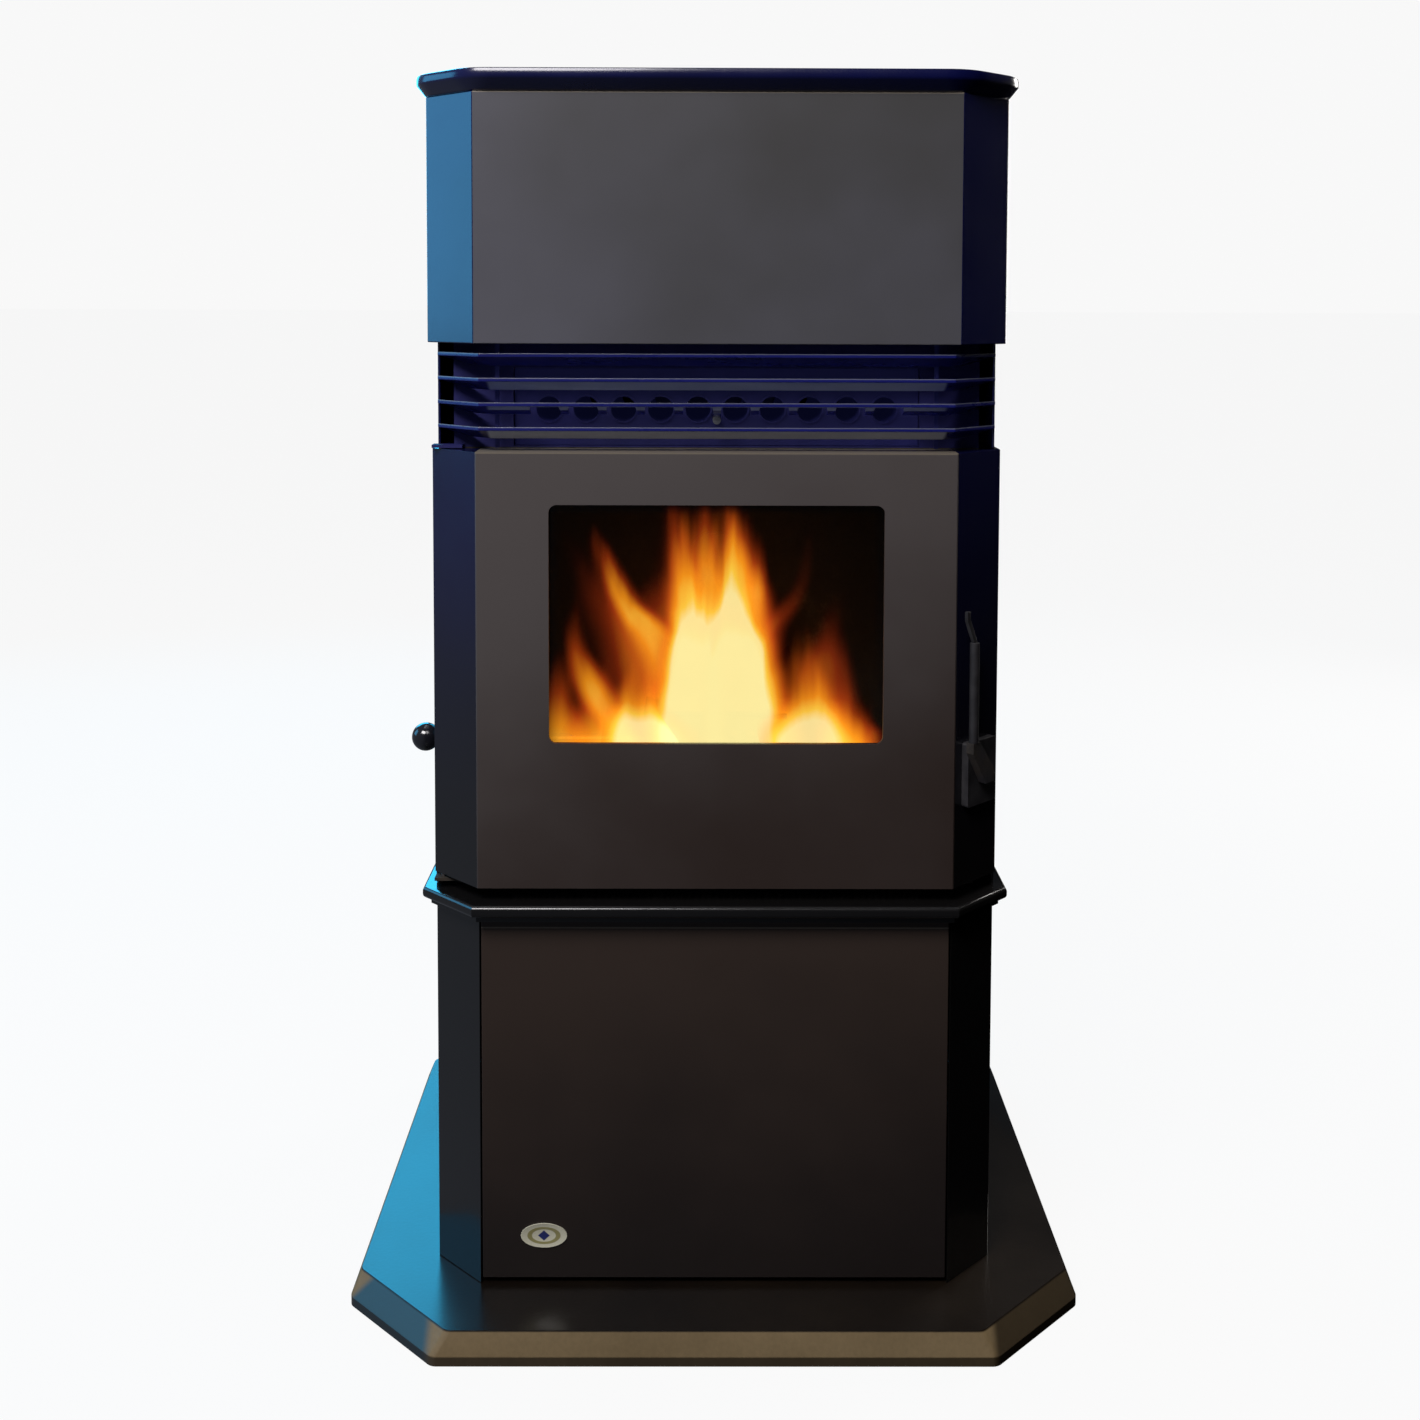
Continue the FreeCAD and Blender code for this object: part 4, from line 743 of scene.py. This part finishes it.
def grains(name, dark, light, rough, glow=0.0):
    """Wood pellets, ash or embers: mottled grains, with an orange glow in their cracks if they burn."""
    finish = Finish(name, Specular_IOR_Level=0.15)
    mottle = finish.noise(220.0, 5.0, 0.65)
    patch = finish.noise(45.0, 3.0)
    finish.feed(Base_Color=finish.blend((mottle * 0.6 + patch * 0.4).ramp(0.3, 0.7), dark, light))
    finish.feed(Roughness=rough - mottle * 0.1)
    if glow:
        heat = finish.blend(patch.ramp(0.35, 0.7), (0.35, 0.02, 0.0), (1.0, 0.45, 0.06))
        finish.feed(Emission_Color=heat)
        finish.shader.inputs["Emission Strength"].default_value = glow
    return finish.relief(mottle, 0.6, 0.002)


def contents():
    """Pellets in the hopper, embers in the pot and ash in the drawer's pan."""
    wood = grains("pellet_wood", (0.22, 0.12, 0.055), (0.46, 0.30, 0.16), 0.85)
    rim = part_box("hopper_bin")
    fill = rim[1].z - 0.075
    low = Vector((rim[0].x + 0.045, rim[0].y + 0.035, fill))
    high = Vector((rim[1].x - 0.045, rim[1].y - 0.035, fill + 0.01))
    heap("pellet_bed", low, high, 0.012, wood, 40, 3)
    inset = Vector((0.01, 0.01, 0))
    lift = Vector((0, 0, 0.006))
    pellets("pellet_top", low + inset + lift, high - inset + lift, 420, wood, 5)
    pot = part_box("burn_pot")
    low = Vector((pot[0].x + 0.018, pot[0].y + 0.016, pot[0].z + 0.012))
    high = Vector((pot[1].x - 0.018, pot[1].y - 0.016, pot[0].z + 0.02))
    coal = grains("ember", (0.02, 0.01, 0.008), (0.20, 0.05, 0.02), 0.9, 2.0)
    heap("ember_bed", low, high, 0.014, coal, 24, 7)
    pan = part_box("ash_pan")
    ash = grains("ash_grey", (0.16, 0.15, 0.14), (0.42, 0.40, 0.38), 0.95)
    heap("ash", Vector((pan[0].x + 0.002, pan[0].y + 0.002, pan[0].z + 0.008)),
         Vector((pan[1].x - 0.002, pan[1].y - 0.002, 0)), 0.03, ash, 48, 9)


pull_knob()
badge()
vent_gauze()
screws()
dial()
contents()


# ---------------------------------------------------------------- fire

EYE = Vector((-0.0134, front - 1.5668, 1.0044))
window_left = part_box("glass_gasket")[0].x + 0.010
window_wide = -2 * window_left
window_tall = window_high - window_low


def through_window(across, up, depth):
    """The point at a depth behind the window that is seen at a share of the window's width and height."""
    spot = Vector((window_left + across * window_wide, front, window_low + up * window_tall))
    return EYE + (spot - EYE) * ((front + depth - EYE.y) / (front - EYE.y))


def flame_finish(name, gain, cool, warm, hot, veil, soft=0.95, start=0.30):
    """Glowing gas: soft sides, long streaks and a ragged tip.

    It is a thin veil that glows more strongly than it hides, so that sheets of flame add up.
    """
    finish = Finish(name, Base_Color=(0, 0, 0, 1), Specular_IOR_Level=0.0, Emission_Strength=1.0 / veil)
    u, v, none = finish.axes(finish.add("ShaderNodeTexCoord", output="UV"))
    streak = finish.noise(9.0, 3.0, 0.5, finish.stretch((2.6, 1.0, 0.34)))
    curl = finish.noise(18.0, 2.0, 0.5, finish.stretch((1.0, 1.0, 0.5)))
    side = (1 - (u * 2 - 1 + (curl - 0.5) * 0.4).size()).ramp(0.0, soft)
    rise = 1 - (v + (streak - 0.5) * 0.5).ramp(start, 0.98)
    heat = side * rise * (0.72 + streak * 0.55) * gain
    tones = [(0.0, cool), (0.34, warm), (0.60, (1.0, 0.33, 0.012)), (0.80, (1.0, 0.62, 0.06)), (0.97, hot)]
    glow = finish.add("ShaderNodeValToRGB", {"stops": tones}, {"Fac": heat})
    return finish.feed(Emission_Color=glow, Alpha=heat.ramp(0.02, 0.85) * veil)


YELLOW = (1.0, 0.86, 0.36)
AMBER = (1.0, 0.72, 0.14)
CORE = flame_finish("flame_core", 1.7, (0.45, 0.045, 0.004), (0.90, 0.16, 0.010), YELLOW,
                    veil=0.85, soft=0.72, start=0.56)
BASE = flame_finish("flame_base", 1.2, (0.50, 0.05, 0.004), (0.90, 0.18, 0.008), YELLOW, veil=0.55, soft=0.80)
TONGUE = flame_finish("flame_tongue", 0.72, (0.30, 0.022, 0.004), (0.72, 0.085, 0.008), AMBER, veil=0.40)
TIP = flame_finish("flame_tip", 0.66, (0.26, 0.020, 0.004), (0.62, 0.070, 0.008), (1.0, 0.60, 0.10),
                   veil=0.45, soft=0.90, start=0.60)
WISP = flame_finish("flame_wisp", 0.42, (0.16, 0.012, 0.005), (0.50, 0.050, 0.008), (1.0, 0.45, 0.06),
                    veil=0.35)


def tongue(path, wide, depth, finish, bow=0.014):
    """A tapering, bowed sheet of flame along a path given as shares of the window's width and height."""
    bpy.ops.object.select_all(action="DESELECT")
    bpy.ops.mesh.primitive_grid_add(x_subdivisions=8, y_subdivisions=28, size=1)
    piece = bpy.context.active_object
    piece.name = f"flame_{len(FLAMES):02d}"
    count = len(path) - 1
    swell, narrow = (0.12, 0.35) if finish is CORE else (0.5, 0.8)
    for vertex in piece.data.vertices:
        across, along = vertex.co.x * 2, vertex.co.y + 0.5
        step = min(int(along * count), count - 1)
        share = along * count - step
        before, start = path[max(step - 1, 0)], path[step]
        end, after = path[step + 1], path[min(step + 2, count)]
        spot = [bend(before[i], start[i], end[i], after[i], share) for i in (0, 1)]
        belly = 0.75 + swell * math.sin(math.pi * min(along * 1.4 + 0.1, 1))
        taper = wide * belly * (1 - along ** 3 * narrow)
        place = through_window(spot[0], spot[1], depth)
        place.x += across * taper / 2
        place.y += across * across * bow + 0.006 * math.sin(along * 5 + len(FLAMES))
        vertex.co = place
    bpy.ops.object.shade_smooth()
    FLAMES.append(settle(piece, "stove", None, finish))


def bend(before, start, end, after, share):
    """A point on the smooth curve through four values."""
    return 0.5 * (2 * start + (end - before) * share
                  + (2 * before - 5 * start + 4 * end - after) * share ** 2
                  + (3 * start - before - 3 * end + after) * share ** 3)


FLAMES = []
for path, wide, depth, finish in (
        # the bright column over the pot
        ([(0.50, -0.35), (0.50, 0.10), (0.50, 0.50), (0.49, 1.06)], 0.205, 0.076, CORE),
        ([(0.58, -0.35), (0.57, 0.10), (0.56, 0.40), (0.55, 0.70)], 0.115, 0.092, CORE),
        ([(0.43, -0.35), (0.43, 0.10), (0.44, 0.40), (0.44, 0.78)], 0.100, 0.095, CORE),
        # the red tips above it
        ([(0.46, 0.00), (0.45, 0.40), (0.41, 0.70), (0.36, 1.12)], 0.100, 0.130, TIP),
        ([(0.50, 0.00), (0.49, 0.45), (0.47, 0.76), (0.45, 1.12)], 0.085, 0.150, TIP),
        ([(0.54, 0.00), (0.55, 0.45), (0.57, 0.78), (0.55, 1.12)], 0.110, 0.120, TIP),
        ([(0.59, 0.10), (0.60, 0.45), (0.61, 0.70), (0.61, 1.00)], 0.075, 0.160, TIP),
        # the left side
        ([(0.44, -0.15), (0.36, 0.35), (0.22, 0.62), (0.10, 1.00)], 0.105, 0.160, TIP),
        ([(0.28, -0.10), (0.16, 0.18), (0.08, 0.42), (0.08, 0.72)], 0.065, 0.102, TONGUE),
        ([(0.04, -0.50), (0.04, -0.05), (0.03, 0.20), (0.07, 0.50)], 0.120, 0.100, TONGUE),
        ([(0.16, -0.50), (0.16, -0.05), (0.14, 0.18), (0.17, 0.44)], 0.120, 0.090, TONGUE),
        ([(0.29, -0.45), (0.29, -0.02), (0.27, 0.18), (0.29, 0.46)], 0.125, 0.080, BASE),
        ([(0.38, -0.40), (0.38, 0.05), (0.36, 0.30), (0.31, 0.60)], 0.110, 0.110, TONGUE),
        # the right side
        ([(0.66, -0.40), (0.66, 0.05), (0.67, 0.28), (0.70, 0.62)], 0.120, 0.105, TONGUE),
        ([(0.78, -0.45), (0.78, -0.02), (0.78, 0.22), (0.74, 0.56)], 0.135, 0.080, BASE),
        ([(0.88, -0.50), (0.89, -0.05), (0.88, 0.22), (0.85, 0.62)], 0.095, 0.100, TONGUE),
        # faint veils at the back
        ([(0.58, 0.15), (0.64, 0.45), (0.75, 0.66), (0.79, 1.05)], 0.060, 0.170, WISP),
        ([(0.84, 0.00), (0.81, 0.30), (0.84, 0.48), (0.88, 0.72)], 0.085, 0.165, WISP),
        ([(0.34, 0.05), (0.26, 0.42), (0.12, 0.72), (0.00, 1.10)], 0.120, 0.180, WISP),
        ([(0.42, 0.15), (0.38, 0.50), (0.38, 0.76), (0.33, 1.20)], 0.130, 0.190, WISP),
        ([(0.95, -0.20), (0.97, 0.02), (0.95, 0.12), (0.99, 0.28)], 0.045, 0.110, WISP)):
    tongue(path, wide, depth, finish)


# ---------------------------------------------------------------- stage, light and camera

def area(name, place, aim, wide, tall, power, colour):
    light = bpy.data.lights.new(name, "AREA")
    light.shape = "RECTANGLE"
    light.size = wide
    light.size_y = tall
    light.energy = power
    light.color = colour
    lamp = bpy.data.objects.new(name, light)
    lamp.location = place
    lamp.rotation_euler = (Vector(aim) - Vector(place)).to_track_quat("-Z", "Y").to_euler()
    lamp.visible_camera = False
    scene.collection.objects.link(lamp)
    return lamp


def stage():
    bpy.ops.mesh.primitive_plane_add(size=400, location=(0, 0, 0))
    floor = bpy.context.active_object
    floor.name = "floor"
    pale = Finish("floor_pale", Roughness=0.9, Specular_IOR_Level=0.0, Emission_Strength=0.92)
    pale.feed(Base_Color=pale.blend(pale.noise(0.7), (0.05, 0.05, 0.05), (0.06, 0.06, 0.06)))
    pale.shader.inputs["Emission Color"].default_value = (1.0, 1.0, 1.0, 1)
    dress(floor, pale)
    floor.visible_glossy = False
    floor.visible_diffuse = False
    world = bpy.data.worlds.new("studio")
    scene.world = world
    world.use_nodes = True
    tree = world.node_tree
    seen = tree.nodes["Background"]
    seen.inputs[0].default_value = (0.94, 0.94, 0.94, 1)
    dim = tree.nodes.new("ShaderNodeBackground")
    dim.inputs[0].default_value = (0.66, 0.72, 0.86, 1)
    sky = tree.nodes.new("ShaderNodeTexCoord")
    parts = tree.nodes.new("ShaderNodeSeparateXYZ")
    shade = tree.nodes.new("ShaderNodeMapRange")
    tree.links.new(sky.outputs["Generated"], parts.inputs[0])
    tree.links.new(parts.outputs[0], shade.inputs[0])
    for place, value in zip(shade.inputs[1:5], (-0.5, 0.28, 0.17, 0.0)):
        place.default_value = value
    tree.links.new(shade.outputs[0], dim.inputs[1])
    path = tree.nodes.new("ShaderNodeLightPath")
    mix = tree.nodes.new("ShaderNodeMixShader")
    tree.links.new(path.outputs["Is Camera Ray"], mix.inputs[0])
    tree.links.new(dim.outputs[0], mix.inputs[1])
    tree.links.new(seen.outputs[0], mix.inputs[2])
    tree.links.new(mix.outputs[0], tree.nodes["World Output"].inputs[0])


def lights():
    area("key_soft", (-1.1, -2.3, 3.1), (-0.1, -0.2, 0.9), 1.8, 1.2, 96, (1.0, 0.97, 0.98))
    area("cool_left", (-2.6, 0.20, 1.46), (-0.2, -0.1, 1.0), 1.2, 1.26, 12.5, (0.11, 0.56, 1.0))
    area("cool_back", (-1.25, 2.4, 1.60), (-0.3, 0, 0.1), 1.7, 1.4, 39, (0.045, 0.58, 1.0))
    area("rear_fill", (2.4, 2.05, 1.4), (0.2, 0.2, 0.7), 1.0, 1.4, 34, (1.0, 0.97, 0.93))
    area("top_fill", (0.1, 0.5, 3.4), (0, 0, 0.6), 2.0, 2.0, 14, (0.9, 0.95, 1.0))


def camera():
    lens = bpy.data.cameras.new("camera")
    lens.sensor_width = 36.0
    lens.lens = 41.53
    lens.shift_y = -0.2185
    viewer = bpy.data.objects.new("camera", lens)
    turn = (Matrix.Rotation(math.radians(-0.24), 4, "Z") @ Matrix.Rotation(math.radians(90 - 3.38), 4, "X")
            @ Matrix.Rotation(math.radians(0.18), 4, "Z"))
    viewer.matrix_world = Matrix.Translation(EYE) @ turn
    scene.collection.objects.link(viewer)
    scene.camera = viewer


stage()
lights()
camera()
scene.view_settings.view_transform = "Standard"
